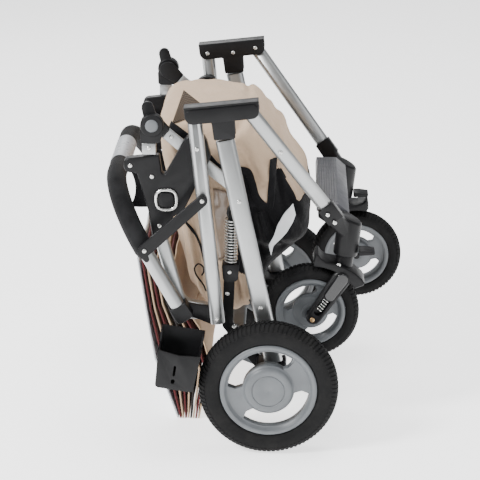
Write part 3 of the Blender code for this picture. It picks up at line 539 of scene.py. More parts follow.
def scatterTree():  # copies of one mesh on the vertices of another, turned to each vertex's aim
    tree, start, out = newTree("copiesOnPoints", [("Copy", "NodeSocketObject"),
                                                  ("Finish", "NodeSocketMaterial")])
    info = tree.nodes.new("GeometryNodeObjectInfo")
    aim = tree.nodes.new("GeometryNodeInputNamedAttribute")
    aim.data_type = "FLOAT_VECTOR"
    aim.inputs["Name"].default_value = "aim"
    turn = tree.nodes.new("FunctionNodeAlignRotationToVector")
    turn.axis = "Z"
    put = tree.nodes.new("GeometryNodeInstanceOnPoints")
    tree.links.new(start.outputs["Copy"], info.inputs["Object"])
    tree.links.new(aim.outputs["Attribute"], turn.inputs["Vector"])
    tree.links.new(start.outputs["Geometry"], put.inputs["Points"])
    tree.links.new(info.outputs["Geometry"], put.inputs["Instance"])
    tree.links.new(turn.outputs["Rotation"], put.inputs["Rotation"])
    closeTree(tree, put.outputs["Instances"], start.outputs["Finish"], out)
    return tree


def ringTree():  # copies of the object's own mesh in a ring about the Y axis
    tree, start, out = newTree("copiesInRing", [("Count", "NodeSocketInt"), ("Finish", "NodeSocketMaterial")])
    points = tree.nodes.new("GeometryNodePoints")
    index = tree.nodes.new("GeometryNodeInputIndex")
    step = tree.nodes.new("ShaderNodeMath")
    step.operation = "DIVIDE"
    step.inputs[0].default_value = 2 * math.pi
    angle = tree.nodes.new("ShaderNodeMath")
    angle.operation = "MULTIPLY"
    turn = tree.nodes.new("ShaderNodeCombineXYZ")
    put = tree.nodes.new("GeometryNodeInstanceOnPoints")
    tree.links.new(start.outputs["Count"], points.inputs["Count"])
    tree.links.new(start.outputs["Count"], step.inputs[1])
    tree.links.new(index.outputs["Index"], angle.inputs[0])
    tree.links.new(step.outputs["Value"], angle.inputs[1])
    tree.links.new(angle.outputs["Value"], turn.inputs["Y"])
    tree.links.new(points.outputs["Points"], put.inputs["Points"])
    tree.links.new(start.outputs["Geometry"], put.inputs["Instance"])
    tree.links.new(turn.outputs["Vector"], put.inputs["Rotation"])
    closeTree(tree, put.outputs["Instances"], start.outputs["Finish"], out)
    return tree


def coilTree():  # a round-wire coil along +Z
    sizes = [("Turns", "NodeSocketFloat"), ("Radius", "NodeSocketFloat"), ("Tall", "NodeSocketFloat"),
             ("Wire", "NodeSocketFloat"), ("Finish", "NodeSocketMaterial")]
    tree, start, out = newTree("coilSpring", sizes)
    line = tree.nodes.new("GeometryNodeCurveSpiral")
    line.inputs["Resolution"].default_value = 26
    wire = tree.nodes.new("GeometryNodeCurvePrimitiveCircle")
    wire.inputs["Resolution"].default_value = 10
    tube = tree.nodes.new("GeometryNodeCurveToMesh")
    tube.inputs["Fill Caps"].default_value = True
    for label, socket in (("Turns", "Rotations"), ("Radius", "Start Radius"), ("Radius", "End Radius"),
                          ("Tall", "Height")):
        tree.links.new(start.outputs[label], line.inputs[socket])
    tree.links.new(start.outputs["Wire"], wire.inputs["Radius"])
    tree.links.new(line.outputs["Curve"], tube.inputs["Curve"])
    tree.links.new(wire.outputs["Curve"], tube.inputs["Profile Curve"])
    closeTree(tree, tube.outputs["Mesh"], start.outputs["Finish"], out)
    return tree


trees = {"scatter": scatterTree(), "ring": ringTree(), "coil": coilTree()}


def runTree(made, tree, values):
    change = made.modifiers.new("repeat", "NODES")
    change.node_group = tree
    for item in tree.interface.items_tree:
        if item.item_type == "SOCKET" and item.in_out == "INPUT" and item.name in values:
            change[item.identifier] = values[item.name]
    return evaluated(made)


def looseObject(name, bm):
    mesh = bpy.data.meshes.new(name)
    bm.to_mesh(mesh)
    bm.free()
    made = bpy.data.objects.new(name, mesh)
    bpy.context.scene.collection.objects.link(made)
    return made


def scatterCopies(name, places, pattern, finish, body):
    # places is a list of (point, aim); pattern is the object copied
    mesh = bpy.data.meshes.new(name)
    mesh.from_pydata([Vector(p) + home for p, _ in places], [], [])
    aims = mesh.attributes.new("aim", "FLOAT_VECTOR", "POINT")
    for i, (_, aim) in enumerate(places):
        aims.data[i].vector = aim
    made = bpy.data.objects.new(name, mesh)
    bpy.context.scene.collection.objects.link(made)
    runTree(made, trees["scatter"], {"Copy": pattern, "Finish": finish})
    made.data.shade_smooth()
    made.data.set_sharp_from_angle(angle=math.radians(50))
    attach(made, body)
    return made


# Wheels
rear = {
    "centre": (0.0, 0.1275), "tyre": 0.1275, "rim": 0.0885, "hub": 0.0437, "cap": 0.0290,
    "faces": (0.2625, 0.3075), "windows": ((50, 180), (228, 358)), "blocks": 92, "steps": 144,
}
caster = {
    "foot": (0.1375, 0.3450), "lean": math.radians(7.0), "y": 0.1700, "trail": 0.0482, "drop": 0.1183,
    "tyre": 0.0905, "rim": 0.0650, "hub": 0.0300, "half": 0.0180, "blocks": 66, "steps": 120,
}


def leaning(up, across):  # a point in X, Z measured along and across the caster's axis
    s, c = math.sin(caster["lean"]), math.cos(caster["lean"])
    return caster["foot"][0] + up * s + across * c, caster["foot"][1] + up * c - across * s


def windowOf(centre, inner, outer, start, end, y0, y1):  # cutter for one rim window, with rounded corners
    r = 0.005
    out1, in1 = math.degrees(r / outer), math.degrees(r / inner)
    outline = arcOf(centre, outer, start + out1, end - out1, 40)
    outline += arcOf(centre, (inner + outer) / 2, end, end, 1)[:1]
    outline += arcOf(centre, inner, end - in1, start + in1, 30)
    outline += arcOf(centre, (inner + outer) / 2, start, start, 1)[:1]
    return plate(outline, y0, y1)


def rimPiece(name, centre, sizes, side, windows, body, node, faces, capped):
    inner, outer = faces
    rim, hub = sizes["rim"], sizes["hub"]
    lip, web = rim - 0.0080, outer - 0.0100
    bore = 0.0064
    webIn = inner + (outer - inner) * 0.46
    profile = [(bore, inner + 0.001), (hub - 0.006, inner + 0.001), (hub - 0.002, inner + 0.004),
               (hub - 0.001, webIn), (lip - 0.001, webIn - 0.001), (lip, inner + 0.006),
               (lip + 0.003, inner + 0.004), (rim, inner + 0.004), (rim, outer - 0.0045),
               (rim - 0.0015, outer - 0.0028), (rim - 0.0045, outer - 0.0020),
               (lip - 0.0005, outer - 0.0034), (lip - 0.0030, web + 0.0022), (lip - 0.0055, web)]
    if capped:
        cap = sizes["cap"]
        profile += [(hub + 0.0060, web), (hub + 0.0025, web + 0.0012), (hub, web + 0.0050),
                    (hub - 0.0020, web + 0.0078), (hub - 0.0050, web + 0.0090),
                    (cap + 0.0016, web + 0.0094), (cap + 0.0009, web + 0.0084),
                    (cap + 0.0001, web + 0.0084), (cap - 0.0006, web + 0.0095), (cap * 0.5, web + 0.0101),
                    (0.0004, web + 0.0103), (0.0004, outer - 0.0080), (bore, outer - 0.0080)]
    else:
        profile += [(hub + 0.0045, web), (hub + 0.0015, web + 0.0010), (hub, web + 0.0036),
                    (hub - 0.0025, web + 0.0056), (0.0170, web + 0.0060), (0.0155, web + 0.0078),
                    (0.0110, web + 0.0082), (bore, web + 0.0080)]
    disc = turnedAbout(profile, centre, sizes["steps"], side)
    cutters = [windowOf(centre, hub + 0.0035, lip - 0.0065, a, b, side * (webIn - 0.004),
                        side * (outer + 0.004))
               for a, b in windows]
    made = addPiece(name, carved(disc, *cutters), finishes["grey_plastic"], None, "grey_plastic")
    softened(made, 0.0009, 2, 38.0)
    made.data.shade_smooth()
    made.data.set_sharp_from_angle(angle=math.radians(55))
    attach(made, body)
    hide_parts(node)
    return made


def tyrePiece(name, centre, sizes, side, body, node, faces):
    # tyre carcass with side rings, and tread blocks repeated round it
    inner, outer = faces
    mid, half = (inner + outer) / 2, (outer - inner) / 2
    bead, crown = sizes["rim"] + nearly, sizes["tyre"]
    deep = crown - bead
    cut = 0.0016
    profile = []
    for k in range(25):
        a = math.pi * (k / 24) - math.pi / 2
        y = mid + half * 0.985 * math.copysign(abs(math.sin(a)) ** 0.80, math.sin(a))
        r = bead + deep * 0.30 + (deep * 0.70 - cut) * max(0.0, math.cos(a)) ** 0.62
        profile.append((r, y))
    wall = [(bead, mid - half * 0.74), (bead + deep * 0.10, mid - half * 0.90),
            (bead + deep * 0.18, mid - half * 0.90)]
    far = [(r, 2 * mid - y) for r, y in reversed(wall)]
    carcass = turnedAbout(wall + profile + far, centre, sizes["steps"], side)
    made = addPiece(name, carcass, finishes["tyre_rubber"], None, "tyre_rubber", smooth=60.0)
    wide = 2 * math.pi * crown / sizes["blocks"]

    def surface(across):
        a = math.asin(min(1.0, abs(across) ** (1 / 0.80))) * math.copysign(1.0, across)
        return (bead + deep * 0.30 + (deep * 0.70 - cut) * max(0.0, math.cos(a)) ** 0.62,
                mid + half * 0.985 * across, a)

    def block(start, end, slant, share):
        # one tread block between two places across the tyre, bent to its crown
        rings = []
        for k in range(5):
            t = start + (end - start) * k / 4
            r, y, a = surface(t)
            outward = Vector((math.cos(a * 0.8), math.sin(a * 0.8) * 0.55)).normalized()
            shift = slant * (t - start)
            ring = []
            for u, lift in ((-0.5, -0.0006), (-0.42, cut), (0.42, cut), (0.5, -0.0006)):
                rr, yy = r + outward.x * lift, y + outward.y * lift
                angle = (u * wide * share + shift) / crown
                ring.append(Vector((rr * math.cos(angle), side * yy, rr * math.sin(angle))))
            rings.append(ring)
        return skin(rings)

    blocks = joined(block(0.30, 0.93, 0.006, 0.66), block(-0.30, -0.93, -0.006, 0.66),
                    block(-0.24, 0.24, 0.010, 0.72))
    ring = looseObject(name + "Tread", blocks)
    runTree(ring, trees["ring"], {"Count": sizes["blocks"], "Finish": finishes["tyre_rubber"]})
    ring.data.transform(Matrix.Translation(Vector((centre[0], 0, centre[1])) + home))
    ring.data.shade_smooth()
    ring.data.set_sharp_from_angle(angle=math.radians(30))
    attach(ring, body)
    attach(made, body)
    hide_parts(node)
    return made


def wheels():
    for label, side in sides.items():
        body = f"rear_wheel_{label}"
        rimPiece(f"rearRim_{label}", rear["centre"], rear, side, rear["windows"], body, body + "_rim",
                 rear["faces"], True)
        tyrePiece(f"rearTyre_{label}", rear["centre"], rear, side, body, body + "_tyre", rear["faces"])
        body = f"front_wheel_{label}"
        across = -caster["trail"] if side < 0 else caster["trail"]
        centre = leaning(-caster["drop"], across)
        faces = (caster["y"] - caster["half"], caster["y"] + caster["half"])
        windows = ((75, 180), (255, 355)) if side < 0 else ((40, 165), (225, 345))
        rimPiece(f"frontRim_{label}", centre, caster, side, windows, body, body + "_rim", faces, False)
        tyrePiece(f"frontTyre_{label}", centre, caster, side, body, body + "_tyre", faces)
    print("wheels are made")


wheels()


# Springs
def coilPiece(name, foot, head, radius, wire, turns, body, node):
    foot, head = Vector(foot), Vector(head)
    made = looseObject(name, bmesh.new())
    runTree(made, trees["coil"], {"Turns": float(turns), "Radius": radius, "Tall": (head - foot).length,
                                  "Wire": wire,
                                  "Finish": finishes["bright_steel"]})
    turn = (head - foot).to_track_quat("Z", "Y").to_matrix().to_4x4()
    made.data.transform(Matrix.Translation(foot + home) @ turn)
    made.data.shade_smooth()
    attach(made, body)
    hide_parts(node)
    return made


def flipped(point, side):
    # the left caster is the right one turned half way about its axis and moved across
    if side < 0:
        return Vector(point)
    axis = Vector((math.sin(caster["lean"]), 0, math.cos(caster["lean"])))
    foot = Vector((caster["foot"][0], -caster["y"], caster["foot"][1]))
    turn = Matrix.Rotation(math.pi, 3, axis)
    return foot + turn @ (Vector(point) - foot) + Vector((0, 2 * caster["y"], 0))


fork = {
    "armOut": 0.0330, "shift": (0.0060, -0.0040), "crest": (-0.0400, -0.0015),
    "coilFrom": 0.0165, "coilTo": 0.0465, "coilRadius": 0.0058, "coilWire": 0.0010, "coilTurns": 5.5,
    "coilIn": 0.0045,
    "shellFrom": 0.0530, "shellTo": 0.0930, "shellEnds": (0.0100, 0.0112), "shellTall": 0.0042,
    "tipBack": 0.0045,
}
strut = {"low": (-0.0720, 0.3395), "high": (-0.0705, 0.4230), "y": 0.206, "radius": 0.0105, "wire": 0.0014,
         "turns": 15}


def forkLine():  # the fork arm's foot, and the way it runs up to the crest
    foot = Vector(leaning(-caster["drop"], -caster["trail"])) + Vector(fork["shift"])
    along = (Vector(leaning(*fork["crest"])) - foot).normalized()
    return foot, along


def springs():
    foot, along = forkLine()
    low, high = foot + along * fork["coilFrom"], foot + along * fork["coilTo"]
    y = -caster["y"] - fork["armOut"] + fork["coilIn"]
    for label, side in sides.items():
        strutLow, strutHigh = ((x, side * strut["y"], z) for x, z in (strut["low"], strut["high"]))
        coilPiece(f"strutCoil_{label}", strutLow, strutHigh, strut["radius"], strut["wire"], strut["turns"],
                  "rear_frame", f"strut_spring_{label}")
        coilPiece(f"forkCoil_{label}", flipped((low.x, y, low.y), side), flipped((high.x, y, high.y), side),
                  fork["coilRadius"], fork["coilWire"], fork["coilTurns"], f"caster_{label}",
                  f"fork_spring_{label}")
    print("springs are made")


springs()


# Moulded and metal parts refined from their solids
def refined(node, body, slotName, width):
    # the same shape with its edges rounded, which stands for the CAD node
    source = frame["nodes"][node]
    bm = bmesh.new()
    bm.from_mesh(source.data)
    bm.transform(source.matrix_world)
    bmesh.ops.remove_doubles(bm, verts=bm.verts, dist=0.00003)
    bmesh.ops.dissolve_limit(bm, angle_limit=math.radians(4.0), verts=bm.verts, edges=bm.edges)
    made = addPiece(node + "_look", bm, finishes[slotName], None, slotName, moved=False)
    softened(made, width)
    made.data.shade_smooth()
    made.data.set_sharp_from_angle(angle=math.radians(34))
    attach(made, body)
    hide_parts(node)
    return made


bodyOf = {node: body for body, nodes in frame["record"]["behaviour"]["bodies"].items() for node in nodes}
softNodes = ("cabin_cloth", "basket_cloth", "canopy_stack")
rebuilt = ("wheel", "spring", "tee_connector", "foam_grip", "grip_band", "push_bar_tube", "release_ring")
for part in frame["record"]["subparts"]:
    name = part["node"]
    if name in softNodes or any(word in name for word in rebuilt):
        continue
    metal = part["material_slot"] == "satin_aluminium"
    refined(name, bodyOf[name], part["material_slot"], 0.0011 if metal else 0.0007)
print("moulded parts are refined")


# T connectors
tee = {"centre": (-0.0850, 0.6320), "tilt": math.radians(6.2), "half": 0.0655, "high": 0.0152,
       "faces": (0.2220, 0.2530), "tube": (0.2280, 0.2460)}


def teeAt(across, up):  # a place on the connector, along and across its tilted head
    c, q = math.cos(tee["tilt"]), math.sin(tee["tilt"])
    return tee["centre"][0] + across * c - up * q, tee["centre"][1] + across * q + up * c


def tees():
    half, high = tee["half"], tee["high"]
    low, top = tee["faces"]

    def corner(across, up, radius):
        return (*teeAt(across, up), radius)

    plateLine = roundedOf([corner(-half, high, 0.003), corner(half, high, 0.006),
                           corner(half, -high, 0.013), corner(0.0205, -high, 0.003),
                           corner(0.0190, -0.0480, 0.003), corner(-0.0190, -0.0480, 0.003),
                           corner(-0.0200, -high, 0.003), corner(-half, -high, 0.014)])
    padLine = roundedOf([corner(-half + 0.0010, high - 0.0042, 0.011),
                         corner(half - 0.0010, high - 0.0042, 0.011),
                         corner(half - 0.0005, -high + 0.0002, 0.0125),
                         corner(-half + 0.0005, -high + 0.0002, 0.0125)])
    lipLine = roundedOf([corner(-half - 0.0004, high - 0.0022, 0.0),
                         corner(-half - 0.0004, high + 0.0004, 0.001),
                         corner(half + 0.0004, high + 0.0004, 0.001),
                         corner(half + 0.0004, high - 0.0022, 0.0)])
    webLine = [teeAt(-half, high), teeAt(half - 0.002, high), teeAt(half - 0.004, 0.0130),
               teeAt(-half, 0.0130)]
    stemLine = [teeAt(-0.0160, 0.0140), teeAt(0.0160, 0.0140), teeAt(0.0180, -0.0470),
                teeAt(-0.0180, -0.0470)]
    for label, side in sides.items():
        whole = joined(plate(plateLine, side * (tee["tube"][1] + nearly), side * (top - 0.0026), 0.0010),
                       plate(padLine, side * (top - 0.0040), side * top, 0.0012),
                       plate(plateLine, side * low, side * (low + 0.003), 0.0010),
                       plate(webLine, side * (low + 0.001), side * (top - 0.003)),
                       plate(lipLine, side * (low + 0.001), side * (top - 0.0012), 0.0005, 2),
                       plate(stemLine, side * (low + 0.001), side * (top - 0.0032)))
        addPiece(f"teeLook_{label}", whole, finishes["black_plastic"], "rear_frame", "black_plastic",
                 (f"tee_connector_{label}",))
    print("T connectors are made")


tees()


# Push bar
bar = {"foot": (-0.1680, 0.2660), "cross": (-0.2845, 0.4800), "bend": 0.1200, "y": 0.2370, "tube": 0.0130,
       "foam": 0.0182, "band": 0.0190, "from": 0.1150, "bandHalf": 0.0660}


def barPath(startAt, steps=26):
    foot, cross = Vector(bar["foot"]), Vector(bar["cross"])
    up = (cross - foot).normalized()
    length = (cross - foot).length
    stations = [(startAt, bar["y"])]
    for k in range(steps + 1):
        a = math.pi / 2 * k / steps
        stations.append((length - bar["bend"] * (1 - math.sin(a)),
                         bar["y"] - bar["bend"] * (1 - math.cos(a))))
    path = [Vector((foot.x + up.x * r, -y, foot.y + up.y * r)) for r, y in stations if r >= startAt]
    return path + [Vector((p.x, -p.y, p.z)) for p in reversed(path)]


def thickness(r):  # foam rounds in at both of its ends
    def at(share):
        edge = min(share, 1 - share) / 0.012
        return r * (0.90 + 0.10 * math.sqrt(max(0.0, 1 - (1 - min(edge, 1.0)) ** 2)))
    return at


def pushBar():
    addPiece("barTube", sweep(barPath(0.0), bar["tube"], 28), finishes["satin_aluminium"], "push_bar",
             "satin_aluminium", ("push_bar_tube",))
    addPiece("barFoam", sweep(barPath(bar["from"]), thickness(bar["foam"]), 32), finishes["grip_foam"],
             "push_bar", "grip_foam", ("foam_grip",), smooth=60)
    x, z = bar["cross"]
    line = [Vector((x, -bar["bandHalf"] + 2 * bar["bandHalf"] * k / 12, z)) for k in range(13)]
    addPiece("barBand", sweep(line, bar["band"], 36), finishes["grip_band"], "push_bar", "grip_band",
             ("grip_band",))
    print("push bar is made")


pushBar()


# Caster details
def casterDetails():
    foot, along = forkLine()
    armOut = caster["y"] + fork["armOut"]
    shell = pillOf(tuple(foot + along * fork["shellFrom"]), tuple(foot + along * fork["shellTo"]),
                   *fork["shellEnds"], 20)
    tip = foot - along * fork["tipBack"]
    for label, side in sides.items():
        bm = plate(shell, -armOut + 0.0002, -armOut - fork["shellTall"], 0.0036, 4)
        if side > 0:
            for v in bm.verts:
                v.co = flipped(v.co, side)
            bmesh.ops.recalc_face_normals(bm, faces=bm.faces)
        addPiece(f"forkShell_{label}", bm, extras["gloss"], f"caster_{label}", "black_plastic")
        scatterCopies(f"forkTip_{label}", [(flipped((tip.x, -armOut, tip.y), side), (0, side, 0))],
                      brassHead, extras["brass"], f"caster_{label}")
    print("caster details are made")


# Release rings
def squircleOf(centre, radius, steps=48, power=0.72):  # between a circle and a square
    out = []
    for k in range(steps):
        a = 2 * math.pi * k / steps
        c, q = math.cos(a), math.sin(a)
        out.append((centre[0] + radius * math.copysign(abs(c) ** power, c),
                    centre[1] + radius * math.copysign(abs(q) ** power, q)))
    return out


ring = {"centre": (-0.1870, 0.4610), "out": 0.2172, "radius": 0.0186, "wire": 0.0031}


def rings():
    for label, side in sides.items():
        path = [Vector((x, side * ring["out"], z)) for x, z in squircleOf(ring["centre"], ring["radius"])]
        addPiece(f"ringLook_{label}", sweep(path, ring["wire"], 14, closed=True), finishes["bright_steel"],
                 "side_links", "bright_steel", (f"release_ring_{label}",), smooth=80)
    print("release rings are made")


rings()


# Rivets
def rivetPattern(r, tall, dimple=True):
    profile = [(0.0001, 0.0), (r, 0.0), (r * 0.98, tall * 0.35), (r * 0.84, tall * 0.72),
               (r * 0.60, tall * 0.94)]
    profile += [(r * 0.34, tall * 0.97), (r * 0.22, tall * 0.60), (0.0001, tall * 0.55)] if dimple else \
               [(r * 0.30, tall), (0.0001, tall)]
    angles = [2 * math.pi * k / 14 for k in range(14)]
    turns = [[Vector((at * math.cos(a), at * math.sin(a), up)) for at, up in profile] for a in angles]
    bm = skin(turns, closedRing=False, closedRun=True, caps=False)
    bmesh.ops.remove_doubles(bm, verts=bm.verts, dist=0.00025)
    bmesh.ops.recalc_face_normals(bm, faces=bm.faces)
    made = looseObject("rivetPattern", bm)
    made.hide_render = True
    return made


rivetSets = {  # body: places as x, how far out, z; the heads face outwards on both sides
    "handle_frame": [(-0.1290, 0.2460, 0.5650), (-0.0950, 0.2460, 0.2420)],
    "rear_frame": [(-0.0550, 0.2460, 0.4680), (-0.0160, 0.2460, 0.2650), (-0.0735, 0.2162, 0.3230),
                   (-0.0780, 0.1956, 0.2730), (-0.0660, 0.1956, 0.2080)],
    "front_frame": [(0.0180, 0.2312, 0.5560), (0.1035, 0.2140, 0.4345), (0.1165, 0.2120, 0.4190)],
    "side_links": [(-0.2506, 0.2162, 0.5243), (-0.2120, 0.2162, 0.5040), (-0.2000, 0.2162, 0.4110),
                   (-0.2165, 0.2142, 0.5565)],
    "seat_strips": [(-0.1775, 0.1942, 0.5720)],
}
casterRivet = (0.1255, 0.1990, 0.3330)
latchRivets = [(-0.1200, -0.2625, 0.4740), (-0.2240, -0.2625, 0.3790)]
teeRivets = ((-0.0495, -0.003), (0.0015, -0.006), (0.0470, -0.001))  # on the connectors' inner faces


rivet = {
    "radius": 0.0041, "tall": 0.0021,
    "discRadius": 0.0118, "discTall": 0.0022, "disc": (-0.2110, 0.2160, 0.5980),
}


def rivets():
    head = rivetPattern(rivet["radius"], rivet["tall"])
    for body, points in rivetSets.items():
        places = [((x, side * y, z), (0, side, 0)) for x, y, z in points for side in (-1, 1)]
        if body == "rear_frame":
            for across, up in teeRivets:
                x, z = teeAt(across, up)
                places += [((x, side * tee["faces"][0], z), (0, -side, 0)) for side in (-1, 1)]
        scatterCopies(f"rivets_{body}", places, head, finishes["bright_steel"], body)
    for label, side in sides.items():
        x, y, z = casterRivet
        scatterCopies(f"rivets_caster_{label}", [(flipped((x, -y, z), side), (0, side, 0))], head,
                      finishes["bright_steel"], f"caster_{label}")
    scatterCopies("rivets_latch", [(place, (0, -1, 0)) for place in latchRivets], head,
                  finishes["bright_steel"], "latch")
    disc = rivetPattern(rivet["discRadius"], rivet["discTall"], dimple=False)
    x, y, z = rivet["disc"]
    scatterCopies("headDiscs", [((x, side * y, z), (0, side, 0)) for side in (-1, 1)], disc,
                  finishes["grey_plastic"], "side_links")
    for loose in (head, disc):
        bpy.data.objects.remove(loose, do_unlink=True)
    print("rivets are made")


rivets()
brassHead = rivetPattern(0.0046, 0.0016)
casterDetails()
bpy.data.objects.remove(brassHead, do_unlink=True)


# Folded cloth
bundle = {
    "centre": (-0.070, 0.420), "half": 0.1715, "power": 5.0, "around": 250, "panel": 62, "rim": 18,
    "seatOut": 0.150, "seatUp": 0.440, "thick": 0.0012, "sink": 1.9, "ripple": 0.0028,
    "tight": 0.032, "tightUp": (0.338, 0.372), "tightFrom": (-0.035, -0.018),  # narrower between the casters
    "outline": [(-0.211, 0.568), (-0.204, 0.596), (-0.165, 0.606), (-0.090, 0.603), (-0.028, 0.592),
                (0.008, 0.556), (0.042, 0.498), (0.066, 0.458), (0.076, 0.420), (0.074, 0.375),
                (0.064, 0.346), (0.040, 0.324), (0.016, 0.306), (0.000, 0.290), (-0.012, 0.262),
                (-0.022, 0.228), (-0.050, 0.204), (-0.115, 0.206), (-0.158, 0.270), (-0.185, 0.385),
                (-0.197, 0.480)],
    "seat": [(-0.0501, 0.5096), (-0.0374, 0.4774), (-0.0301, 0.4546), (-0.0155, 0.4375), (-0.0009, 0.4300),
             (0.0007, 0.4683), (0.0057, 0.5290), (0.0348, 0.5029), (0.0675, 0.4918), (0.200, 0.480),
             (0.200, 0.150), (-0.0385, 0.150), (-0.0385, 0.300), (-0.0600, 0.305), (-0.0600, 0.500)],
}
creases = [  # first end, last end, width, depth; negative depths stand out
    ((-0.0700, 0.560), (-0.0450, 0.596), 0.0060, 0.0045),
    ((-0.0450, 0.596), (-0.0100, 0.590), 0.0060, 0.0040),
    ((-0.0600, 0.553), (-0.0350, 0.590), 0.0080, -0.0035),
    ((0.0060, 0.570), (0.0120, 0.500), 0.0070, 0.0045), ((0.0150, 0.560), (0.0220, 0.490), 0.0080, -0.0035),
    ((0.0300, 0.520), (0.0500, 0.470), 0.0060, 0.0035),
    ((-0.0556, 0.543), (-0.0157, 0.476), 0.0090, 0.0045),
    ((-0.0440, 0.560), (-0.0060, 0.490), 0.0110, -0.0035),
    ((-0.0161, 0.589), (-0.0015, 0.530), 0.0070, 0.0040),
    ((-0.1629, 0.600), (-0.1730, 0.560), 0.0070, 0.0035),
    ((-0.1768, 0.450), (-0.1560, 0.262), 0.0060, 0.0060),
    ((-0.1640, 0.400), (-0.1409, 0.250), 0.0060, 0.0060),
    ((-0.1700, 0.420), (-0.1485, 0.256), 0.0055, -0.0040),
    ((-0.1480, 0.420), (-0.1225, 0.252), 0.0060, 0.0055),
    ((-0.1540, 0.400), (-0.1320, 0.255), 0.0055, -0.0035),
    ((-0.1150, 0.430), (-0.1000, 0.250), 0.0070, 0.0050),
    ((-0.0620, 0.300), (-0.0500, 0.215), 0.0050, 0.0055),
    ((-0.0760, 0.300), (-0.0640, 0.215), 0.0060, -0.0030),
    ((-0.1900, 0.540), (-0.1500, 0.470), 0.0080, 0.0045),
    ((-0.1800, 0.550), (-0.1400, 0.480), 0.0090, -0.0035),
    ((-0.1300, 0.520), (-0.1050, 0.440), 0.0080, 0.0040),
    ((-0.0100, 0.430), (0.0250, 0.345), 0.0070, 0.0065),
    ((0.0080, 0.440), (0.0450, 0.365), 0.0080, -0.0045), ((0.0300, 0.460), (0.0620, 0.390), 0.0070, 0.0060),
    ((-0.0300, 0.430), (-0.0120, 0.300), 0.0060, 0.0055),
    ((-0.0220, 0.420), (0.0020, 0.330), 0.0070, -0.0040),
    ((0.0120, 0.500), (0.0220, 0.440), 0.0060, 0.0055), ((0.0400, 0.485), (0.0700, 0.430), 0.0060, 0.0045),
]


def eased(value, low, high):
    share = min(max((value - low) / (high - low), 0.0), 1.0)
    return share * share * (3 - 2 * share)


def foldAt(x, z):  # how far the cloth sinks at a point of the side panel
    sunk = 0.0
    for (x0, z0), (x1, z1), width, depth in creases:
        run = Vector((x1 - x0, z1 - z0))
        share = min(max(((x - x0) * run.x + (z - z0) * run.y) / run.length_squared, 0.0), 1.0)
        away = math.hypot(x - x0 - run.x * share, z - z0 - run.y * share)
        if away < width * 3:
            ends = 0.25 + 0.75 * math.sin(math.pi * min(max(share, 0.04), 0.96)) ** 0.5
            sunk += depth * ends * math.exp(-(away / width) ** 2)
    return sunk


def radiusAlong(outline, centre, steps):
    # distance from the centre to a closed outline in each direction, its corners eased
    reach = []
    count = len(outline)
    for k in range(steps):
        a = 2 * math.pi * k / steps
        way = Vector((math.cos(a), math.sin(a)))
        best = 0.01
        for i in range(count):
            p, q = Vector(outline[i]) - Vector(centre), Vector(outline[(i + 1) % count]) - Vector(centre)
            edge = q - p
            cross = way.x * edge.y - way.y * edge.x
            if abs(cross) < 1e-9:
                continue
            far = (p.x * edge.y - p.y * edge.x) / cross
            part = (p.x * way.y - p.y * way.x) / cross
            if -1e-6 <= part <= 1 + 1e-6 and far > best:
                best = far
        reach.append(best)
    for _ in range(3):
        reach = [sum(reach[(i + step) % steps] for step in range(-2, 3)) / 5 for i in range(steps)]
    return reach


def insideOf(x, z, outline):
    inside = False
    for i in range(len(outline)):
        (x0, z0), (x1, z1) = outline[i - 1], outline[i]
        if (z0 > z) != (z1 > z) and x < (x1 - x0) * (z - z0) / (z1 - z0) + x0:
            inside = not inside
    return inside


def stationsOf():
    # shares of the reach and of the half width, from the right side's middle over the rim to the left's
    power = bundle["power"]
    shares = [0.015 + 0.915 * k / bundle["panel"] for k in range(bundle["panel"] + 1)]
    half = [(s, (1 - s ** power) ** (1 / power)) for s in shares]
    edge = half[-1][1]
    for k in range(1, bundle["rim"] + 1):
        wide = edge * (1 - k / bundle["rim"])
        half.append(((1 - wide ** power) ** (1 / power), wide))
    return half + [(s, -wide) for s, wide in reversed(half[:-1])]


def bundleMesh():
    around = bundle["around"]
    reach = radiusAlong(bundle["outline"], bundle["centre"], around)
    cx, cz = bundle["centre"]
    rings = []
    for s, wide in stationsOf():
        ring = []
        for k in range(around):
            a = 2 * math.pi * k / around
            x, z = cx + reach[k] * s * math.cos(a), cz + reach[k] * s * math.sin(a)
            tight = bundle["tight"] * (1 - eased(z, *bundle["tightUp"])) * eased(x, *bundle["tightFrom"])
            half = bundle["half"] - tight
            wave = noise.noise(Vector((x * 24, wide * 3.0, z * 13)))
            wave += 0.5 * noise.noise(Vector((x * 60, wide * 7, z * 34)))
            sunk = bundle["sink"] * foldAt(x, z) * (0.45 + 0.55 * abs(wide)) + bundle["ripple"] * wave
            shrink = 1 - (sunk * (1 - abs(wide) ** 4) + 0.0015) / max(reach[k], 0.05)
            ring.append(Vector((cx + (x - cx) * shrink, -wide * (half - sunk * abs(wide)),
                                cz + (z - cz) * shrink)))
        rings.append(ring)
    bm = skin(rings, caps=False)
    bm.verts.ensure_lookup_table()
    for start, pole in ((0, rings[0]), (len(rings) - 1, rings[-1])):
        tip = bm.verts.new(sum(pole, Vector((0, 0, 0))) / around)
        bm.verts.ensure_lookup_table()
        loop = [bm.verts[start * around + k] for k in range(around)]
        for k in range(around):
            bm.faces.new((loop[k], loop[(k + 1) % around], tip))
    bmesh.ops.recalc_face_normals(bm, faces=bm.faces)
    return bm


def thinSheet(made, thick):  # give an open surface its cloth thickness on the inside
    shell = made.modifiers.new("cloth", "SOLIDIFY")
    shell.thickness, shell.offset, shell.use_even_offset = thick, -1.0, False
    made = evaluated(made)
    made.data.shade_smooth()
    return made


def areaOf(made):
    return sum(face.area for face in made.data.polygons)


clothCuts = (  # name, whether it is the dark cut, slot, CAD node it stands for
    ("cabinFolds", False, "beige_cloth", "cabin_cloth"),
    ("seatFolds", True, "black_cloth", "basket_cloth"),
)


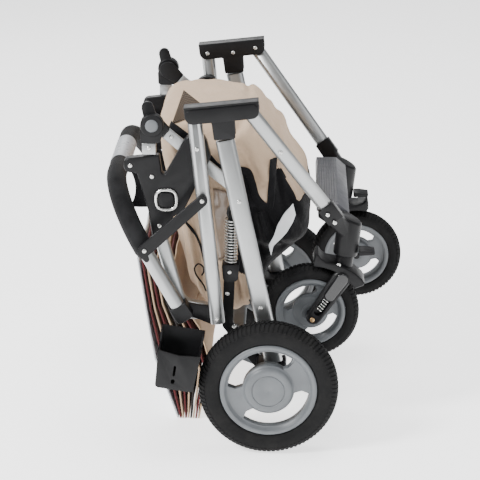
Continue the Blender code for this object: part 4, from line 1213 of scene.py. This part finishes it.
def isSeat(face):
    x, y, z = face.calc_center_median()
    return insideOf(x, z, bundle["seat"]) and (abs(y) > bundle["seatOut"] or z < bundle["seatUp"])


def clothPieces():  # cabin and seat cloth are two cuts of one crumpled surface
    whole = bundleMesh()
    made = []
    for name, dark, slotName, node in clothCuts:
        bm = whole.copy()
        bmesh.ops.delete(bm, geom=[face for face in bm.faces if isSeat(face) != dark], context="FACES")
        piece = addPiece(name, bm, finishes[slotName], None, slotName, smooth=180)
        area = areaOf(piece)
        piece = thinSheet(piece, bundle["thick"])
        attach(piece, "rear_frame")
        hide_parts(node)
        print(name, "area", round(area, 3))
        made.append(piece)
    whole.free()
    return made


cabinFolds, seatFolds = clothPieces()
clothTree = BVHTree.FromPolygons(
    [v.co.copy() for piece in (cabinFolds, seatFolds) for v in piece.data.vertices],
    [tuple(i for i in p.vertices) for p in cabinFolds.data.polygons]
    + [tuple(i + len(cabinFolds.data.vertices) for i in p.vertices) for p in seatFolds.data.polygons])


def onCloth(x, z, side, lift):  # a point of the side panel, lifted off the cloth
    start = Vector((x, side * 0.30, z)) + home
    hit = clothTree.ray_cast(start, Vector((0, -side, 0)))[0]
    if hit is None:
        return Vector((x, side * (bundle["half"] + lift), z))
    return hit - home + Vector((0, side * lift, 0))


def flatBand(points, side, width, thick, lift, spacing=10):
    # webbing that follows the cloth along a line of the side panel
    line = smoothPath([(x, 0, z) for x, z in points], spacing)
    rings = []
    for i, p in enumerate(line):
        ahead, behind = line[min(i + 1, len(line) - 1)], line[max(i - 1, 0)]
        along = (ahead - behind).normalized()
        over = Vector((-along.z, 0, along.x)) * width / 2
        ring = []
        for share, out in ((-1, 0.0), (-0.93, 1.0), (-0.4, 1.0), (0.0, 1.0), (0.4, 1.0), (0.93, 1.0),
                           (1, 0.0), (0.9, -0.4), (0.0, -0.4), (-0.9, -0.4)):
            q = p + over * share
            ring.append(onCloth(q.x, q.z, side, lift + out * thick))
        rings.append(ring)
    for _ in range(3):
        for k in range(len(rings[0])):
            ys = [ring[k].y for ring in rings]
            for i in range(1, len(rings) - 1):
                rings[i][k].y = max(ys[i - 1:i + 2], key=abs) * 0.5 + sum(ys[i - 1:i + 2]) / 6
    return skin(rings)


trims = {
    "hoodBand": ([(-0.1848, 0.5789), (-0.1527, 0.5628), (-0.1187, 0.5334), (-0.0953, 0.5091),
                  (-0.0700, 0.5050), (-0.0447, 0.5010), (-0.0338, 0.4794), (-0.0245, 0.4507),
                  (-0.0035, 0.4339), (0.0015, 0.4683), (0.0048, 0.5200)], 0.0130, 0.0020),
    "tuckStrap": ([(-0.1580, 0.4050), (-0.1436, 0.3858), (-0.1291, 0.3586), (-0.1220, 0.3273)], 0.0050,
                  0.0012),
    "hemCord": ([(-0.1524, 0.2475), (-0.1360, 0.2425), (-0.1207, 0.2429), (-0.1000, 0.2450)], 0.0022, 0.0008),
    "seatSeam": ([(-0.0200, 0.4250), (-0.0080, 0.3900), (0.0080, 0.3620), (0.0200, 0.3480)], 0.0060, 0.0012),
}


def trimPieces():
    for label, side in sides.items():
        for name, (points, width, thick) in trims.items():
            finish = extras["thread"] if name == "hemCord" else finishes["black_cloth"]
            addPiece(f"{name}_{label}", flatBand(points, side, width, thick, 0.0007), finish, "rear_frame",
                     "black_cloth" if finish is finishes["black_cloth"] else "beige_cloth", smooth=70)
    print("trims are made")


trimPieces()


def patchSeen(name, corners, finish, slotName, lift, steps=26):
    # a four-cornered patch, its corners given as they look at the side panel, laid on the cloth
    eye = Vector(view["eye"])
    a, b, c, d = (Vector((x, -0.176, z)) for x, z in corners)
    bm = bmesh.new()
    uv = bm.loops.layers.uv.new("weave")
    rows = []
    for i in range(steps + 1):
        u = i / steps
        row = []
        for j in range(steps + 1):
            v = j / steps
            seen = (a * (1 - u) + b * u) * (1 - v) + (d * (1 - u) + c * u) * v
            way = (seen - eye).normalized()
            hit = clothTree.ray_cast(eye + home, way)[0]
            place = (hit - home if hit else seen) - way * lift
            row.append((bm.verts.new(place), u, v))
        rows.append(row)
    wide, tall = (b - a).length, (d - a).length
    for i in range(steps):
        for j in range(steps):
            four = (rows[i][j], rows[i + 1][j], rows[i + 1][j + 1], rows[i][j + 1])
            face = bm.faces.new([v for v, _, _ in four])
            for loop, (_, u, v) in zip(face.loops, four):
                loop[uv].uv = (u * wide, v * tall)
    for _ in range(2):
        bmesh.ops.smooth_vert(bm, verts=[v for v in bm.verts if not v.is_boundary], factor=0.4,
                              use_axis_x=True, use_axis_y=True, use_axis_z=True)
    bmesh.ops.recalc_face_normals(bm, faces=bm.faces)
    made = addPiece(name, bm, finish, None, slotName, smooth=180)
    made = thinSheet(made, 0.0006)
    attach(made, "rear_frame")
    return made


window = [(-0.1560, 0.6540), (-0.1184, 0.6238), (-0.1350, 0.6050), (-0.1775, 0.5920)]
# the sheet under the netting is painted shade of the cabin's inside
patchSeen("windowBacking", window, extras["paintedShadeSheet"], "black_cloth", 0.0012)
patchSeen("windowNet", window, extras["netting"], "black_cloth", 0.0024)
patchSeen("rainFilm", [(-0.1046, 0.4700), (-0.0780, 0.4640), (-0.0790, 0.3378), (-0.0963, 0.3307)],
          extras["film"], "beige_cloth", 0.0030)
print("window patches are made")


pocket = {"low": (-0.2550, 0.4350), "high": (-0.2240, 0.5080), "y": 0.1815, "thick": 0.0009, "wide": 0.031}


def sidePockets():  # crumpled dark netting that hangs between the side joints and the push bar
    rows, columns = 30, 22
    for label, side in sides.items():
        grid = []
        for i in range(rows + 1):
            v = i / rows
            left = pocket["low"][0] + 0.010 * math.sin(math.pi * v)
            line = []
            for j in range(columns + 1):
                x = left + (pocket["high"][0] - left) * j / columns
                z = pocket["low"][1] + (pocket["high"][1] - pocket["low"][1]) * v
                crumple = noise.noise(Vector((x * 70, side * 3.0, z * 60))) * 0.0022
                line.append(Vector((x, side * (pocket["y"] + crumple), z)))
            grid.append(line)
        made = addPiece(f"pocketNet_{label}", skin(grid, closedRing=False, caps=False),
                        finishes["black_cloth"], None, "black_cloth", smooth=180)
        area = areaOf(made)
        made = thinSheet(made, pocket["thick"])
        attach(made, "side_links")
    print("side pockets are made")


sidePockets()


# Canopy layers
stack = {
    "left": [(-0.2470, 0.3270), (-0.2330, 0.2200), (-0.2180, 0.1250), (-0.1960, 0.0600), (-0.1760, 0.0016)],
    "right": [(-0.1830, 0.2970), (-0.1700, 0.2500), (-0.1300, 0.1900), (-0.1120, 0.1200), (-0.1360, 0.0016)],
    "layers": [("lightGrey", 0.0), ("maroon", 0.13), ("tan", 0.25), ("maroon", 0.37), ("tan", 0.49),
               ("darkLayer", 0.61), ("tan", 0.73), ("maroon", 0.84), ("tan", 0.97)],
    "half": 0.1620, "thick": 0.0032,
}


def alongLine(points, share):
    place = share * (len(points) - 1)
    i = min(int(place), len(points) - 2)
    return Vector(points[i]).lerp(Vector(points[i + 1]), place - i)


def canopyLayers():
    rows, columns = 64, 48
    for number, (colour, share) in enumerate(stack["layers"]):
        grid = []
        for i in range(rows + 1):
            v = i / rows
            p = alongLine(stack["left"], v).lerp(alongLine(stack["right"], v), share)
            line = []
            for j in range(columns + 1):
                y = stack["half"] * (2 * j / columns - 1)
                away = 1 - abs(2 * j / columns - 1) ** 6
                wave = noise.noise(Vector((y * 16, v * 5, number * 3.7))) * 0.0016
                edge = noise.noise(Vector((v * 9, number * 1.9, math.copysign(2, y)))) * 0.0030
                low = p.y + 0.0010 * math.sin(y * 60 + number)
                line.append(Vector((p.x + wave * (0.3 + away), y * (1 - 0.012) + edge * (1 - away) * 0.6,
                                    max(low, 0.0016))))
            grid.append(line)
        bm = skin(grid, closedRing=False, caps=False)
        made = addPiece(f"canopyLayer_{number}", bm, extras[colour], None, "striped_cloth", smooth=180)
        area = areaOf(made)
        made = thinSheet(made, stack["thick"])
        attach(made, "rear_frame")
        if number == 0:
            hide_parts("canopy_stack")
    print("canopy layers are made")


canopyLayers()


# Care tag and pull cord
tag = {
    "left": [(0.0050, 0.3450), (0.0010, 0.3640), (0.0110, 0.3830), (0.0170, 0.4030), (0.0290, 0.4250),
             (0.0450, 0.4440)],
    "right": [(0.0062, 0.3440), (0.0100, 0.3620), (0.0240, 0.3760), (0.0340, 0.3880), (0.0450, 0.4080),
              (0.0500, 0.4230)],
    "out": 0.1800, "back": 0.0040, "thick": 0.0005, "flat": (0.026, 0.112),
}


def careTag():
    rows, grid = 24, []
    for i in range(rows + 1):
        v = i / rows
        a, b = alongLine(tag["left"], v), alongLine(tag["right"], v)
        line = []
        for j in range(9):
            p = a.lerp(b, j / 8)
            curl = 0.0009 * math.sin(v * 5.0 + j * 0.35) + 0.0010 * (1 - v)
            line.append(Vector((p.x - tag["back"], -tag["out"] - curl, p.y)))
        grid.append(line)
    made = addPiece("careTag", skin(grid, closedRing=False, caps=False), extras["paper"], None,
                    "striped_cloth", smooth=180)
    made = thinSheet(made, tag["thick"])
    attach(made, "rear_frame")
    round(0.5 * areaOf(made), 5)
    print("care tag is made")


careTag()


cord = {
    "loop": [(-0.1187, 0.2700), (-0.1222, 0.2830), (-0.1300, 0.2950), (-0.1369, 0.3060), (-0.1390, 0.3180),
             (-0.1320, 0.3262), (-0.1235, 0.3205), (-0.1222, 0.3110), (-0.1262, 0.3010)],
    "thick": 0.0030, "out": 0.1822, "bulge": 0.0010, "rooted": 0.1752,
}


def pullCord():  # a short drawcord loop that leaves the cloth and goes back into it
    last = len(cord["loop"]) - 1
    outer = [-cord["out"] - cord["bulge"] * math.sin(math.pi * k / last) for k in range(last + 1)]
    outer[0] = outer[-1] = -cord["rooted"]
    points = [Vector((x, y, z)) for (x, z), y in zip(cord["loop"], outer)]
    path = smoothPath(points, 8)
    made = addPiece("drawcord", sweep(path, cord["thick"] / 2, 12), finishes["black_cloth"], "rear_frame",
                    "black_cloth", smooth=180)
    long = sum((b - a).length for a, b in zip(path, path[1:]))
    print("drawcord length", round(long, 4))


pullCord()
